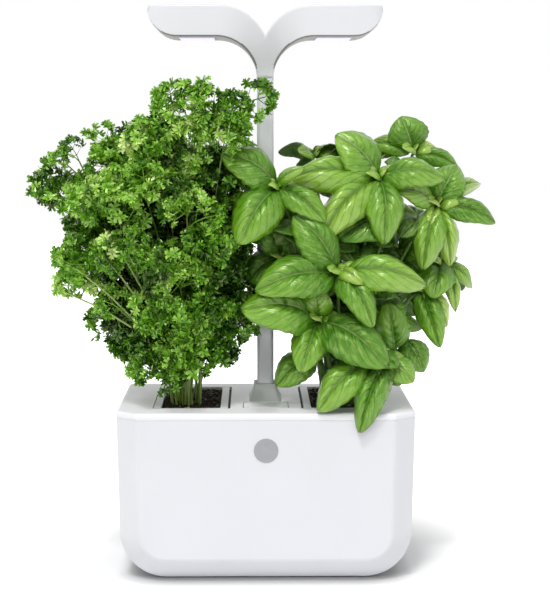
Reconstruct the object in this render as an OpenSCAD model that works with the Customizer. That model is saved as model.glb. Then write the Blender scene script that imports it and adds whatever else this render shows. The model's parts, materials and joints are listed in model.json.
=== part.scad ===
// Countertop hydroponic garden: a water tank, a lid with two pod pockets, and a twin-arm grow light on a
// mast that slides down into the lid's dry well. Millimetres. X is to the right, Y to the back, Z up.
// The origin is the middle of the anti-slip pad's underside. The light is drawn fully raised.

/* [Tank] */
// Width of the tank at its rim
tank_w = 220; // [210:1:260]
// Depth of the tank, front to back
tank_d = 156; // [150:1:200]
// Height of the tank's rim above the table
rim_h = 120; // [118:1:150]
// Thickness of the tank's walls
tank_wall = 2.5; // [1.8:0.1:3.5]
// Thickness of the tank's floor
tank_floor = 3; // [2:0.1:4]
// How much each side draws in from the rim to the bottom bend
side_taper = 2; // [0:0.5:4]
// Radius of the bend between a side and the bottom
bend_r = 34; // [24:1:40]
// Width of the 45 degree bevel round the front face
front_bevel = 15.5; // [8:0.5:20]

/* [Anti-slip pad] */
// Width of the pad
pad_w = 130; // [80:1:136]
// Depth of the pad
pad_d = 110; // [60:1:116]
// Thickness of the pad
pad_t = 2; // [1.6:0.1:2.6]
// How far the pad stands out of the tank's bottom
pad_proud = 0.8; // [0.6:0.1:1.2]

/* [Front badge] */
// Diameter of the plain round badge
badge_dia = 18; // [10:1:26]
// Thickness of the badge
badge_t = 0.6; // [0.4:0.1:1]
// Height of the badge's centre above the table
badge_h = 98; // [80:1:104]

/* [Lid] */
// Thickness of the lid's edge
lid_t = 5.6; // [5.2:0.1:8]
// Thickness of the lid's top skin over its side hollows
lid_skin = 2.6; // [2:0.1:3.4]
// Width of the lid's solid edge
lid_edge = 8; // [6:0.5:10]
// Depth that the locating skirt reaches into the tank
skirt_h = 6; // [4:0.5:10]
// Thickness of the locating skirt
skirt_t = 2; // [1.5:0.1:2.5]
// Gap between the skirt and the tank's wall
skirt_gap = 0.5; // [0.3:0.1:0.8]
// Width of the centre panel between the two pod pockets
panel_w = 55; // [53:1:60]
// Distance from the lid's front edge to a pod pocket
pod_margin = 21; // [19:1:24]

/* [Pods] */
// Width of a pod's rim
pod_w = 55; // [50:1:58]
// Length of a pod's rim, front to back
pod_l = 115; // [95:1:118]
// Thickness of a pod's rim
pod_rim_t = 2.4; // [1.8:0.1:3]
// Width of the rim beside the soil
pod_side_rim = 5.5; // [4.5:0.5:7]
// Width of the rim in front of the soil and behind it
pod_end_rim = 3.5; // [3.5:0.5:6]
// Thickness of a pod tray's walls
tray_wall = 1.6; // [1.2:0.1:2]
// Depth of a pod tray below its rim
tray_h = 68; // [50:1:80]
// Gap round a pod in its pocket
pod_gap = 0.6; // [0.4:0.1:1]
// How far the soil lies below the rim
soil_drop = 3; // [1:0.5:10]
// Gap between the soil block and its tray
soil_gap = 0.3; // [0.2:0.1:0.6]
// Width of the wick
wick_w = 16; // [8:1:24]
// Thickness of the wick
wick_t = 2.4; // [1.5:0.1:4]
// Length of the wick that hangs below the tray
wick_drop = 36; // [20:1:40]
// Length of the wick inside the soil
wick_rise = 22; // [10:1:36]
// Diameter of the tray's drain holes
drain_dia = 6; // [4:0.5:8]

/* [Mast] */
// Width of the mast
mast_w = 12.6; // [11:0.2:14]
// Depth of the mast
mast_d = 20; // [16:0.5:21]
// Thickness of the mast's wall
mast_wall = 1.8; // [1.4:0.1:2.2]
// Radius of the mast's corners
mast_r = 3; // [2:0.5:4]
// Height of the mast's upper end, where the arms begin
neck_z = 369; // [366:1:374]
// Gap round the mast in its guide, the lid and the collar
slide_gap = 0.3; // [0.2:0.05:0.5]

/* [Mast well] */
// How far the mast's foot stands out past the mast
foot_lip = 0.9; // [0.7:0.1:1.4]
// Height of the mast's foot
foot_h = 8; // [6:0.5:9]
// Gap between the foot and the well's walls
well_gap = 0.3; // [0.2:0.05:0.5]
// Thickness of the well's walls and bottom
well_wall = 1.8; // [1.5:0.1:2]
// Gap between the well's bottom and the tank's floor
well_floor_gap = 7.1; // [4:0.1:30]
// Width of the well's screw flange
well_flange = 8; // [7:0.5:8.5]
// Thickness of the well's screw flange
well_flange_t = 2.4; // [2:0.1:3]
// Height of the mast guide
guide_h = 19; // [12:0.5:20]
// Length of the lamp lead's coil when the light is fully lowered
coil_short = 10; // [7:0.5:11]
// Outer diameter of the lamp lead's coil
coil_dia = 11; // [8:0.5:12]
// Diameter of the lamp lead
lead_dia = 3; // [2:0.5:3.4]

/* [Collar] */
// Width of the grey collar at its bottom
collar_w = 24.6; // [21:0.2:28]
// Width of the collar at its top
collar_top_w = 17.4; // [16.4:0.2:20]
// Depth of the collar at its bottom
collar_d = 44; // [36:1:46]
// Depth of the collar at its top
collar_top_d = 26; // [25:0.5:32]
// Height of the collar
collar_h = 12; // [8:0.5:16]

/* [Filling flap] */
// Width of the flap in front of the mast
flap_w = 33; // [28:1:36]
// Distance from the flap's hinge to its front edge
flap_l = 27; // [22:1:28]
// Thickness of the flap
flap_t = 2; // [1.6:0.1:2.4]
// Gap round the flap
flap_gap = 0.5; // [0.3:0.1:0.8]
// Gap between the flap and the ledge under it
flap_rest = 0.2; // [0.1:0.05:0.3]
// Width of the ledge under the flap
flap_ledge = 3; // [2:0.5:4]
// Radius of the flap's hinge barrel
barrel_r = 1.9; // [1.7:0.1:2]
// Diameter of the flap's hinge pin
flap_pin_dia = 2; // [1.6:0.1:2]
// Clearance on the hinge pin's radius in the flap
pin_clearance = 0.05; // [0.02:0.01:0.08]
// How far the hinge pin reaches into the lid on each side
pin_hold = 2.5; // [1.5:0.5:4]
// Width of the finger notches at the flap's front corners
flap_notch = 4; // [3:0.5:6]

/* [Control box] */
// Width of the control box
box_w = 48; // [46:1:52]
// Depth of the control box
box_d = 42; // [40:1:46]
// Height of the control box
box_h = 22; // [21:0.5:26]
// Thickness of the control box's walls
box_wall = 2; // [1.6:0.1:2.4]
// Thickness of the gasket between the box and the lid
gasket_t = 1; // [0.6:0.1:1.6]
// Gap between the box and the notch in the tank
notch_gap = 0.5; // [0.4:0.1:1]
// Distance of the button and of the power inlet from the middle
rear_spread = 12; // [11:0.5:13]
// Diameter of the timer button
button_dia = 12; // [9:0.5:13]
// Travel of the timer button
button_travel = 1.2; // [0.6:0.1:1.4]
// How far the button stands out of the box
button_proud = 1.6; // [1.4:0.1:2.4]
// Gap round the button
button_gap = 0.2; // [0.15:0.05:0.4]
// Diameter of the round recess that takes the power plug
inlet_dia = 11; // [9:0.5:12]
// Depth of the power plug's recess
inlet_depth = 4; // [3:0.5:5]

/* [Float switch] */
// Diameter of the float's stem
stem_dia = 6; // [4:0.5:8]
// Diameter of the float
float_dia = 24; // [18:1:25]
// Height of the float
float_h = 14; // [10:1:18]
// Gap between the float and its stem
float_gap = 0.6; // [0.3:0.1:1]
// Height of the float's lower stop above the table
float_stop_z = 22; // [20:1:28]
// Travel of the float
float_travel = 55; // [30:1:60]

/* [Grow light] */
// Distance from the middle to an arm's tip
arm_reach = 88; // [82:1:100]
// Height of the arms' underside above the table
arm_under_z = 399; // [397:1:404]
// Thickness of an arm
arm_t = 23.4; // [20:0.2:26]
// Depth of an arm, front to back
arm_d = 60; // [54:1:70]
// Depth of an arm at its tip
tip_d = 40; // [30:1:50]
// Length of an arm's upswept tip
tip_l = 22; // [16:1:22]
// Radius of the curve on the arms' upper side, down to the fork
fork_r = 38.5; // [36:0.5:40]
// Radius of an arm's lengthwise edges
arm_edge_r = 5; // [3:0.5:6]
// Thickness of the housing's wall
arm_wall = 2.2; // [1.8:0.1:2.8]
// Gap between a light window and the arm's upswept tip
window_end_gap = 2; // [1:0.5:6]
// Length of a light window
window_l = 26; // [20:1:26]
// Depth of a light window, front to back
window_d = 42; // [30:1:44]
// Gap round a light window in the housing
window_gap = 0.2; // [0.1:0.05:0.4]
// How far a light window stands out below the arm
window_proud = 0.8; // [0.4:0.1:1.5]
// Thickness of a light window's inner flange
window_flange_t = 1.2; // [0.8:0.1:1.6]
// Height of an LED board above the arm's underside
led_board_rise = 6; // [5:0.5:7]
// Thickness of an LED board
led_board_t = 1.6; // [1:0.1:2]
// Width of one LED
led_size = 2.8; // [2:0.1:3.5]
// Height of one LED
led_h = 0.8; // [0.5:0.1:1.2]
// Thickness of a heat spreader's plate
spreader_t = 2; // [1.5:0.1:3]
// Thickness of a heat spreader's fins
fin_t = 1.5; // [1:0.1:2]

/* [Plants] */
// Diameter of a plant's main stems
plant_stem_dia = 3; // [2:0.2:4]
// Thickness of a leaf
leaf_t = 1.1; // [0.8:0.1:1.6]
// Length of a parsley frond
frond_l = 32; // [20:1:34]
// Width of a parsley frond
frond_w = 24; // [16:1:30]

/* [Hidden] */
lid_top_z = rim_h + lid_t;
front_y = -tank_d / 2;
back_y = tank_d / 2;
floor_top_z = pad_proud + tank_floor;
// A line drawn in by 1 mm at both ends of a 45 degree bevel gets shorter by this much
bevel_share = 2 - sqrt(2);
// Clearances of pieces that are fitted once and stay put, and a cut's overshoot
fitted_gap = 0.05;
cut = 1;
slab = 0.02;

pod_x = panel_w / 2 + pod_gap + pod_w / 2;
pod_y = front_y + pod_margin + pod_gap + pod_l / 2;
pod_rim_z = lid_top_z - pod_rim_t;
pod_corner_r = 4;
soil_w = pod_w - 2 * pod_side_rim;
soil_l = pod_l - 2 * pod_end_rim;
soil_z = lid_top_z - soil_drop;
soil_corner_r = 2;
tray_w = soil_w + 2 * tray_wall;
tray_l = soil_l + 2 * tray_wall;
tray_z = pod_rim_z - tray_h;

hole_w = mast_w + 2 * slide_gap;
hole_d = mast_d + 2 * slide_gap;
foot_w = mast_w + 2 * foot_lip;
foot_d = mast_d + 2 * foot_lip;
well_w = foot_w + 2 * well_gap;
well_d = foot_d + 2 * well_gap;
foot_top_z = rim_h - guide_h - slide_gap;
foot_z = foot_top_z - foot_h;
well_floor_z = floor_top_z + well_floor_gap + well_wall;
// The light can be lowered until the foot stands on the squeezed coil
lamp_travel = foot_z - well_floor_z - coil_short;
mast_z = foot_z + foot_h / 2;
mast_bore_r = max(mast_r - mast_wall, 0.4);
screw_dia = 2.5;
screw_head_dia = 4.4;
screw_head_t = 1.4;
screw_bite = 2.6;
screw_gap = 0.2;
lead_gap = 0.2;

hinge_y = -collar_d / 2 - 2 * flap_gap - barrel_r;
hinge_z = lid_top_z - barrel_r;
flap_front_y = hinge_y - flap_l;
flap_z = lid_top_z - flap_t;

box_rim_z = rim_h - gasket_t;
box_z = box_rim_z - box_h;
box_y = back_y - box_d;
rear_z = box_z + box_h / 2;
button_flange = 1.5;
button_flange_t = 1.2;
button_y = back_y - box_wall - button_gap - button_flange_t;
switch_y = button_y - button_travel - button_gap;
switch_l = 7.7;
plunger_l = 1.5;
board_y = switch_y - plunger_l - switch_l;
board_t = 1.6;
board_gap = 1;
box_mid_y = box_y + box_d / 2;
link_back_y = box_y + 5.4;
// The screw bosses are sunk this far into the walls beside them
boss_r = 3.2;
boss_sink = 0.6;
box_screw_x = box_w / 2 - box_wall - boss_r + boss_sink;
box_screw_front_y = box_y + box_wall + boss_r - boss_sink;
box_screw_back_y = board_y - board_t - boss_r - 2.4;
inlet_ring = 2;
jack_w = 12;
jack_h = 11;
jack_bore_dia = 6.2;
jack_bore_l = 7;
jack_pin_dia = 2;
jack_pin_l = 6;
switch_w = 6;
plunger_dia = 3;
chip_w = 8;
chip_t = 2.5;
chip_h = 8;

float_y = front_y + tank_wall + float_dia / 2 + 2.5;
stop_t = 2;
float_z = float_stop_z + stop_t + fitted_gap * 4;
stem_flange = 4;
stem_flange_t = 2;

elbow_r = arm_under_z - neck_z;
elbow_x = mast_w / 2 + elbow_r;
arm_top_z = arm_under_z + arm_t;
// The arms' upper curve starts this far past the middle, and after this share of the elbow's steps
fork_over = 3.5;
fork_share = 0.25;
fork_x = fork_r - fork_over;
fork_z = arm_top_z - fork_r;
straight_x = arm_reach - tip_l;
elbow_steps = 10;
tip_steps = 5;
tip_sweep = 80;
roof_z = arm_top_z - arm_wall;
window_near = straight_x - window_end_gap - window_l;
window_x = window_near + window_l / 2;
window_flange = 1.6;
led_board_z = arm_under_z + led_board_rise;
spreader_z = led_board_z + led_board_t;

// Room in which a plant is kept, and the angles of a parsley shoot's two fronds
plant_room = 400;
frond_fan = 143;
frond_scatter = 17;
frond_rise = [8, 42];
frond_rise_step = [6, -9];

// Where each parsley shoot ends, counted from the middle of the left pod's soil
parsley_shoots = [
    [-92, -10, 158], [-88, 5, 126], [-84, -20, 92], [-62, 5, 58], [-38, -10, 40],
    [-58, -22, 188], [-22, -52, 208], [4, -54, 222], [24, -54, 208], [30, -22, 172],
    [22, -30, 132], [26, -36, 94], [24, -32, 62], [12, -28, 40], [-62, -48, 148],
    [-34, -62, 166], [-2, -64, 152], [-72, -44, 112], [-42, -64, 112], [-8, -64, 102],
    [14, -58, 122], [-52, -52, 76], [-18, -62, 64], [8, -56, 66], [-26, -48, 42],
    [-4, -48, 36], [-60, 38, 150], [-24, 48, 172], [6, 44, 158], [-72, 32, 102],
    [-32, 54, 110], [12, 48, 100], [-44, 42, 66], [2, 42, 58], [-32, 0, 184],
    [0, 4, 178], [-34, -30, 192], [4, 0, 140]
];
// The long parsley sprig that crosses in front of the mast, as its start and its tip
parsley_sprig = [[34, -46, 224], [66, -44, 234]];

// Basil shoots, counted from the middle of the right pod's soil. Each is followed by its leaves, as the
// way from the shoot to the leaf's tip and the leaf's width.
basil_shoots = [
    [[-47, -46, 165], [-29, -10, 28, 27], [-26, -26, -37, 34], [36, -20, -24, 23], [16, -12, 15, 10]],
    [[29, -30, 172], [-25, -6, 24, 32], [-42, -28, -38, 26], [4, -30, -41, 27], [50, -10, 0, 24],
        [-58, -12, -8, 26], [13, 10, 7, 10]],
    [[58, 10, 186], [4, -6, 20, 27], [31, -5, -9, 15], [-31, 5, 8, 16]],
    [[73, -20, 151], [15, 5, 28, 24], [40, -5, -10, 19], [-29, -15, 14, 19], [-8, -20, -18, 12],
        [-12, -25, -39, 22], [10, -15, -38, 17], [33, 24, 16, 12]],
    [[38, -25, 140], [-36, -25, -7, 34]],
    [[-3, -60, 102], [-26, -6, 41, 28], [-54, -18, -5, 32], [60, -16, -3, 28], [27, -28, -33, 25],
        [15, -20, -2, 12]],
    [[-17, -56, 68], [-49, -20, 13, 35], [-12, -24, -30, 23], [-3, -10, 23, 20], [46, -28, -25, 37]],
    [[41, -40, 42], [-6, -10, 34, 23]],
    [[77, -10, 108], [-7, -25, -21, 24], [11, -10, -33, 12], [24, 0, -17, 13]],
    [[62, -15, 88], [10, -25, -36, 18], [19, -10, -23, 17]],
    [[49, -30, 51], [12, -10, -20, 20]],
    [[33, -60, 38], [-20, -26, -41, 26], [-47, -24, -28, 35], [17, -10, -11, 19], [-4, -6, 9, 10]],
    [[-19, -40, 40], [-27, -12, -16, 23]],
    [[4, 36, 156], [-26, 10, 12, 26], [22, 20, 14, 30], [8, 28, -22, 26], [-14, -16, 16, 20]],
    [[42, 42, 132], [34, 10, 6, 28], [-10, 28, -20, 32], [-30, 14, 8, 24], [14, -22, 18, 22]],
    [[-14, 38, 104], [-16, 24, 10, 28], [22, 26, -18, 30], [-12, -14, 20, 20]],
    [[30, 48, 78], [32, 12, -14, 30], [-18, 26, -22, 30], [-28, -10, 10, 22]],
    [[74, 32, 96], [26, 16, -12, 26], [-6, 26, -24, 24], [6, -18, 20, 20]],
    [[6, 40, 44], [-20, 18, -12, 26], [20, 24, -16, 26]],
    [[8, -4, 120], [-18, 14, 22, 24], [24, 16, 20, 26], [10, -30, 18, 24]]
];

// ---------- shapes used by more than one piece ----------

// A block centred on X and Y that stands on height z
module block(w, d, h, z) {
    translate([-w / 2, -d / 2, z]) cube([w, d, h]);
}

// The same block with round upright edges
module round_block(w, d, h, z, r) {
    translate([0, 0, z]) union() {
        translate([-w / 2 + r, -d / 2, 0]) cube([w - 2 * r, d, h]);
        translate([-w / 2, -d / 2 + r, 0]) cube([w, d - 2 * r, h]);
        for (x = [-1, 1], y = [-1, 1])
            translate([x * (w / 2 - r), y * (d / 2 - r), 0]) cylinder(r = r, h = h, $fn = 48);
    }
}

// A round bar of length l along Y, from y backwards
module bar_y(r, l, x, y, z) {
    translate([x, y, z]) rotate([-90, 0, 0]) cylinder(r = r, h = l, $fn = 48);
}

module at_pod(side) {
    translate([side * pod_x, pod_y, 0]) children();
}

// Front view of the tank drawn in by inset: tapered sides, round bends and a flat bottom
function bend_points(sign, inset) = [for (i = [0:10])
    [sign * (tank_w / 2 - side_taper - bend_r + (bend_r - inset) * sin(9 * i)),
     pad_proud + bend_r - (bend_r - inset) * cos(9 * i)]];
function tank_outline(inset) = let (right = bend_points(1, inset))
    concat([[-tank_w / 2 + inset, rim_h], [tank_w / 2 - inset, rim_h]],
        [for (i = [10:-1:0]) right[i]], bend_points(-1, inset));

// The tank's body drawn in by inset at its front, sides and bottom, up to a given back
module tank_form(inset, back) {
    face = inset + front_bevel - inset * bevel_share;
    hull() {
        translate([0, back, 0]) rotate([90, 0, 0])
            linear_extrude(back - front_y - face) polygon(tank_outline(inset));
        translate([0, front_y + inset + slab, 0]) rotate([90, 0, 0])
            linear_extrude(slab) polygon(tank_outline(face));
    }
}

// Plan of the lid drawn in by inset, with the same bevel at its front corners
function lid_plan(inset) = let (x = tank_w / 2 - inset, f = front_y + inset, b = back_y - inset,
    c = front_bevel - inset * bevel_share)
    [[-x, b], [-x, f + c], [-x + c, f], [x - c, f], [x, f + c], [x, b]];

// ---------- tank ----------

module tank_shell() {
    color("white") difference() {
        tank_form(0, back_y);
        difference() {
            tank_form(tank_wall, back_y - tank_wall);
            block(tank_w, tank_d, floor_top_z, 0);
        }
        translate([0, 0, rim_h - slab]) linear_extrude(cut) polygon(lid_plan(tank_wall));
        block(pad_w, pad_d, pad_t - pad_proud + cut, pad_proud - cut);
        translate([0, back_y, 0])
            block(box_w + 2 * notch_gap, 4 * tank_wall, rim_h, box_z - notch_gap);
        bar_y(badge_dia / 2, badge_t / 2 + cut, 0, front_y - cut, badge_h);
    }
}

module anti_slip_pad() {
    color("dimgray") block(pad_w - 2 * fitted_gap, pad_d - 2 * fitted_gap, pad_t, 0);
}

// A plain disc with a shallow ring groove
module front_badge() {
    color("silver") difference() {
        bar_y(badge_dia / 2 - fitted_gap, badge_t, 0, front_y - badge_t / 2, badge_h);
        difference() {
            bar_y(badge_dia * 0.36, cut, 0, front_y - cut - badge_t / 4, badge_h);
            bar_y(badge_dia * 0.26, cut, 0, front_y - cut - badge_t / 4, badge_h);
        }
    }
}

// ---------- lid ----------

// The strip of the lid between a pod pocket and the lid's solid edge
side_strip = tank_w / 2 - lid_edge - (pod_x + pod_w / 2 + pod_gap + tray_wall);

module well_screw_places(z) {
    for (x = [-1, 1], y = [-1, 1])
        translate([x * (well_w / 2 + well_wall + well_flange / 2), y * well_d / 4, z]) children();
}

module box_screw_places(z) {
    for (x = [-1, 1], y = [box_screw_front_y, box_screw_back_y])
        translate([x * box_screw_x, y, z]) children();
}

module lid_deck() {
    groove_w = lead_dia + 2 * lead_gap;
    groove_back_y = link_back_y + 2 * lead_gap;
    color("gainsboro") difference() {
        union() {
            translate([0, 0, rim_h]) linear_extrude(lid_t) polygon(lid_plan(0));
            difference() {
                translate([0, 0, rim_h - skirt_h]) linear_extrude(skirt_h + slab)
                    polygon(lid_plan(tank_wall + skirt_gap));
                translate([0, 0, rim_h - skirt_h - cut]) linear_extrude(skirt_h + cut)
                    polygon(lid_plan(tank_wall + skirt_gap + skirt_t));
                translate([0, back_y, 0])
                    block(box_w + 4 * notch_gap, 2 * (tank_wall + skirt_gap + skirt_t + cut),
                        skirt_h + cut, rim_h - skirt_h - cut);
            }
        }
        for (side = [-1, 1]) {
            at_pod(side)
                round_block(pod_w + 2 * pod_gap, pod_l + 2 * pod_gap, lid_t, pod_rim_z, pod_corner_r);
            at_pod(side) round_block(tray_w + 2 * pod_gap, tray_l + 2 * pod_gap, lid_t + 2 * cut,
                rim_h - cut, soil_corner_r + tray_wall);
            translate([side * (tank_w / 2 - lid_edge - side_strip / 2), pod_y, 0])
                block(side_strip, pod_l, lid_t - lid_skin + cut, rim_h - cut);
        }
        block(hole_w, hole_d, lid_t + 2 * cut, rim_h - cut);
        flap_room();
        well_screw_places(rim_h - cut)
            cylinder(d = screw_dia, h = screw_bite + screw_gap + cut, $fn = 32);
        box_screw_places(rim_h - cut)
            cylinder(d = screw_dia, h = screw_bite + screw_gap + cut, $fn = 32);
        translate([0, (hole_d / 2 + groove_back_y) / 2, 0])
            block(groove_w, groove_back_y - hole_d / 2, groove_w + cut, rim_h - cut);
    }
}

// Room in the lid for the flap, its hinge and the mouth under it
module flap_room() {
    mouth_lip = 2;
    mouth_front_y = flap_front_y + flap_ledge;
    mouth_back_y = hinge_y - barrel_r - flap_gap - mouth_lip;
    room_w = flap_w + 2 * flap_gap;
    translate([-room_w / 2, flap_front_y - flap_gap, flap_z - flap_rest])
        cube([room_w, flap_l + flap_gap, flap_t + flap_rest + cut]);
    translate([-room_w / 2, hinge_y - barrel_r - flap_gap, hinge_z - barrel_r - flap_gap])
        cube([room_w, 2 * barrel_r + 2 * flap_gap, 2 * barrel_r + flap_gap + cut]);
    translate([-flap_w / 2 + flap_ledge, mouth_front_y, rim_h - cut])
        cube([flap_w - 2 * flap_ledge, mouth_back_y - mouth_front_y, lid_t]);
    for (side = [-1, 1])
        translate([side * (flap_w - flap_notch) / 2, flap_front_y + flap_notch / 2, 0])
            block(flap_notch, flap_notch, lid_t, rim_h - cut);
    translate([-room_w / 2 - pin_hold, hinge_y, hinge_z]) rotate([0, 90, 0])
        cylinder(d = flap_pin_dia + fitted_gap, h = room_w + 2 * pin_hold, $fn = 48);
}

module fill_flap() {
    color("whitesmoke") difference() {
        union() {
            translate([-flap_w / 2, flap_front_y, flap_z]) cube([flap_w, flap_l, flap_t]);
            translate([-flap_w / 2, hinge_y, hinge_z]) rotate([0, 90, 0])
                cylinder(r = barrel_r, h = flap_w, $fn = 64);
        }
        for (side = [-1, 1])
            translate([side * flap_w / 2, flap_front_y, 0])
                block(2 * flap_notch, 2 * flap_notch, flap_t + 2 * cut, flap_z - cut);
        translate([-flap_w / 2 - cut, hinge_y, hinge_z]) rotate([0, 90, 0])
            cylinder(r = flap_pin_dia / 2 + pin_clearance, h = flap_w + 2 * cut, $fn = 48);
    }
}

module flap_hinge_pin() {
    color("lightsteelblue") translate([-flap_w / 2 - flap_gap - pin_hold, hinge_y, hinge_z])
        rotate([0, 90, 0]) cylinder(d = flap_pin_dia, h = flap_w + 2 * flap_gap + 2 * pin_hold, $fn = 48);
}

// Flared boot that stands on the lid round the mast
module mast_collar() {
    edge = 1;
    color([0.62, 0.66, 0.63]) difference() {
        hull() {
            block(collar_w, collar_d, edge, lid_top_z);
            round_block(collar_top_w, collar_top_d, edge, lid_top_z + collar_h - edge, 2);
        }
        block(hole_w, hole_d, collar_h + 2 * cut, lid_top_z - cut);
    }
}

// Dry sleeve under the lid that the mast's foot slides in
module mast_well() {
    flange_w = well_w + 2 * well_wall + 2 * well_flange;
    color("lightgray") difference() {
        union() {
            round_block(well_w + 2 * well_wall, well_d + 2 * well_wall, rim_h - well_floor_z + well_wall,
                well_floor_z - well_wall, 2);
            round_block(flange_w, well_d + 2 * well_wall, well_flange_t, rim_h - well_flange_t, 2);
        }
        block(well_w, well_d, rim_h - well_floor_z + cut, well_floor_z);
        well_screw_places(rim_h - well_flange_t - cut)
            cylinder(r = screw_dia / 2 + screw_gap, h = well_flange_t + 2 * cut, $fn = 32);
    }
}

module mast_guide() {
    color("dimgray") difference() {
        block(well_w - 2 * fitted_gap, well_d - 2 * fitted_gap, guide_h, rim_h - guide_h);
        block(hole_w, hole_d, guide_h + 2 * cut, rim_h - guide_h - cut);
    }
}

// A screw whose head is down and whose head's underside is at height z
module screw_up(length, z) {
    shank = screw_dia / 2 - fitted_gap;
    translate([0, 0, z - screw_head_t]) cylinder(d = screw_head_dia, h = screw_head_t, $fn = 32);
    translate([0, 0, z]) cylinder(r = shank, h = length, $fn = 32);
}

module well_screws() {
    color("silver") well_screw_places(0) screw_up(well_flange_t + screw_bite, rim_h - well_flange_t);
}

// Curly lead under the mast's foot, as one hollow sleeve of its outer size
module lamp_lead_coil() {
    color("black") translate([0, 0, well_floor_z]) difference() {
        cylinder(d = coil_dia, h = foot_z - well_floor_z, $fn = 48);
        translate([0, 0, -cut])
            cylinder(d = coil_dia - 2 * lead_dia, h = foot_z - well_floor_z + 2 * cut, $fn = 48);
    }
}

// Short lead in the lid's groove, from the control box to the mast well
module link_lead() {
    front = hole_d / 2 + 2 * lead_gap;
    color("black") bar_y(lead_dia / 2, link_back_y - front, 0, front, rim_h + lead_dia / 2 + lead_gap);
}

// ---------- control box ----------

module control_box() {
    color("gainsboro") difference() {
        union() {
            translate([0, box_mid_y, 0]) difference() {
                block(box_w, box_d, box_h, box_z);
                block(box_w - 2 * box_wall, box_d - 2 * box_wall, box_h, box_z + box_wall);
            }
            box_screw_places(box_z) cylinder(r = boss_r, h = box_h, $fn = 48);
            bar_y(inlet_dia / 2 + inlet_ring, inlet_depth, rear_spread, back_y - inlet_depth, rear_z);
        }
        box_screw_places(box_z - cut)
            cylinder(r = screw_dia / 2 + screw_gap, h = box_h + 2 * cut, $fn = 32);
        box_screw_places(box_z - cut)
            cylinder(r = screw_head_dia / 2 + screw_gap, h = screw_head_t + cut, $fn = 32);
        bar_y(inlet_dia / 2, inlet_depth + 2 * cut, rear_spread, back_y - inlet_depth - cut, rear_z);
        bar_y(button_dia / 2 + button_gap, box_wall + 2 * cut, -rear_spread,
            back_y - box_wall - cut, rear_z);
    }
}

module box_gasket() {
    color("dimgray") translate([0, box_mid_y, 0]) difference() {
        block(box_w, box_d, gasket_t, box_rim_z);
        block(box_w - 2 * box_wall, box_d - 2 * box_wall, gasket_t + 2 * cut, box_rim_z - cut);
    }
}

module box_screws() {
    color("silver") box_screw_places(0)
        screw_up(box_h - screw_head_t + gasket_t + screw_bite, box_z + screw_head_t);
}

// A chip on the board's front face, at a place along X
module chip(x) {
    translate([x, board_y - board_t - chip_t / 2, 0])
        block(chip_w, chip_t, chip_h, rear_z - chip_h / 2);
}

module control_board() {
    board_w = box_w - 2 * box_wall - 2 * board_gap;
    board_h = box_h - box_wall - 2 * board_gap;
    color("seagreen") union() {
        translate([0, board_y - board_t / 2, 0]) block(board_w, board_t, board_h, box_z + box_wall);
        chip(-rear_spread);
        chip(rear_spread / 3);
    }
}

module timer_switch() {
    color("dimgray") union() {
        translate([-rear_spread, (board_y + switch_y - plunger_l) / 2, 0])
            block(switch_w, switch_y - plunger_l - board_y, switch_w, rear_z - switch_w / 2);
        bar_y(plunger_dia / 2, plunger_l + slab, -rear_spread, switch_y - plunger_l - slab, rear_z);
    }
}

module power_jack() {
    jack_y = back_y - inlet_depth;
    color("black") difference() {
        translate([rear_spread, (board_y + jack_y) / 2, 0])
            block(jack_w, jack_y - board_y, jack_h, rear_z - jack_h / 2);
        difference() {
            bar_y(jack_bore_dia / 2, jack_bore_l + cut, rear_spread, jack_y - jack_bore_l, rear_z);
            bar_y(jack_pin_dia / 2, jack_pin_l, rear_spread, jack_y - jack_bore_l - slab, rear_z);
        }
    }
}

module timer_button() {
    color("gray") union() {
        bar_y(button_dia / 2, back_y + button_proud - button_y, -rear_spread, button_y, rear_z);
        bar_y(button_dia / 2 + button_flange, button_flange_t, -rear_spread, button_y, rear_z);
    }
}

// ---------- float switch ----------

module float_stem() {
    color("lightgray") translate([0, float_y, 0]) union() {
        translate([0, 0, float_stop_z]) cylinder(d = stem_dia, h = rim_h - float_stop_z, $fn = 48);
        translate([0, 0, rim_h - stem_flange_t])
            cylinder(r = stem_dia / 2 + stem_flange, h = stem_flange_t, $fn = 48);
    }
}

module float_stop() {
    color("dimgray") translate([0, float_y, float_stop_z]) difference() {
        cylinder(d = stem_dia + 5, h = stop_t, $fn = 48);
        translate([0, 0, -cut]) cylinder(d = stem_dia + 2 * fitted_gap, h = stop_t + 2 * cut, $fn = 48);
    }
}

module level_float() {
    color("orange") translate([0, float_y, float_z]) difference() {
        cylinder(d = float_dia, h = float_h, $fn = 64);
        translate([0, 0, -cut]) cylinder(d = stem_dia + 2 * float_gap, h = float_h + 2 * cut, $fn = 48);
    }
}

// ---------- mast and grow light ----------

module mast() {
    color("white") difference() {
        round_block(mast_w, mast_d, neck_z - slab - mast_z, mast_z, mast_r);
        round_block(mast_w - 2 * mast_wall, mast_d - 2 * mast_wall, neck_z - mast_z + 2 * cut,
            mast_z - cut, mast_bore_r);
    }
}

module mast_foot() {
    color("dimgray") difference() {
        block(foot_w, foot_d, foot_h, foot_z);
        round_block(mast_w, mast_d, foot_h, mast_z, mast_r);
        translate([0, 0, foot_z - cut]) cylinder(d = lead_dia + 1, h = foot_h, $fn = 32);
    }
}

// Half-depth of an arm at a step of its elbow, from the mast's depth to the arm's
function ease(t) = t * t * (3 - 2 * t);
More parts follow.
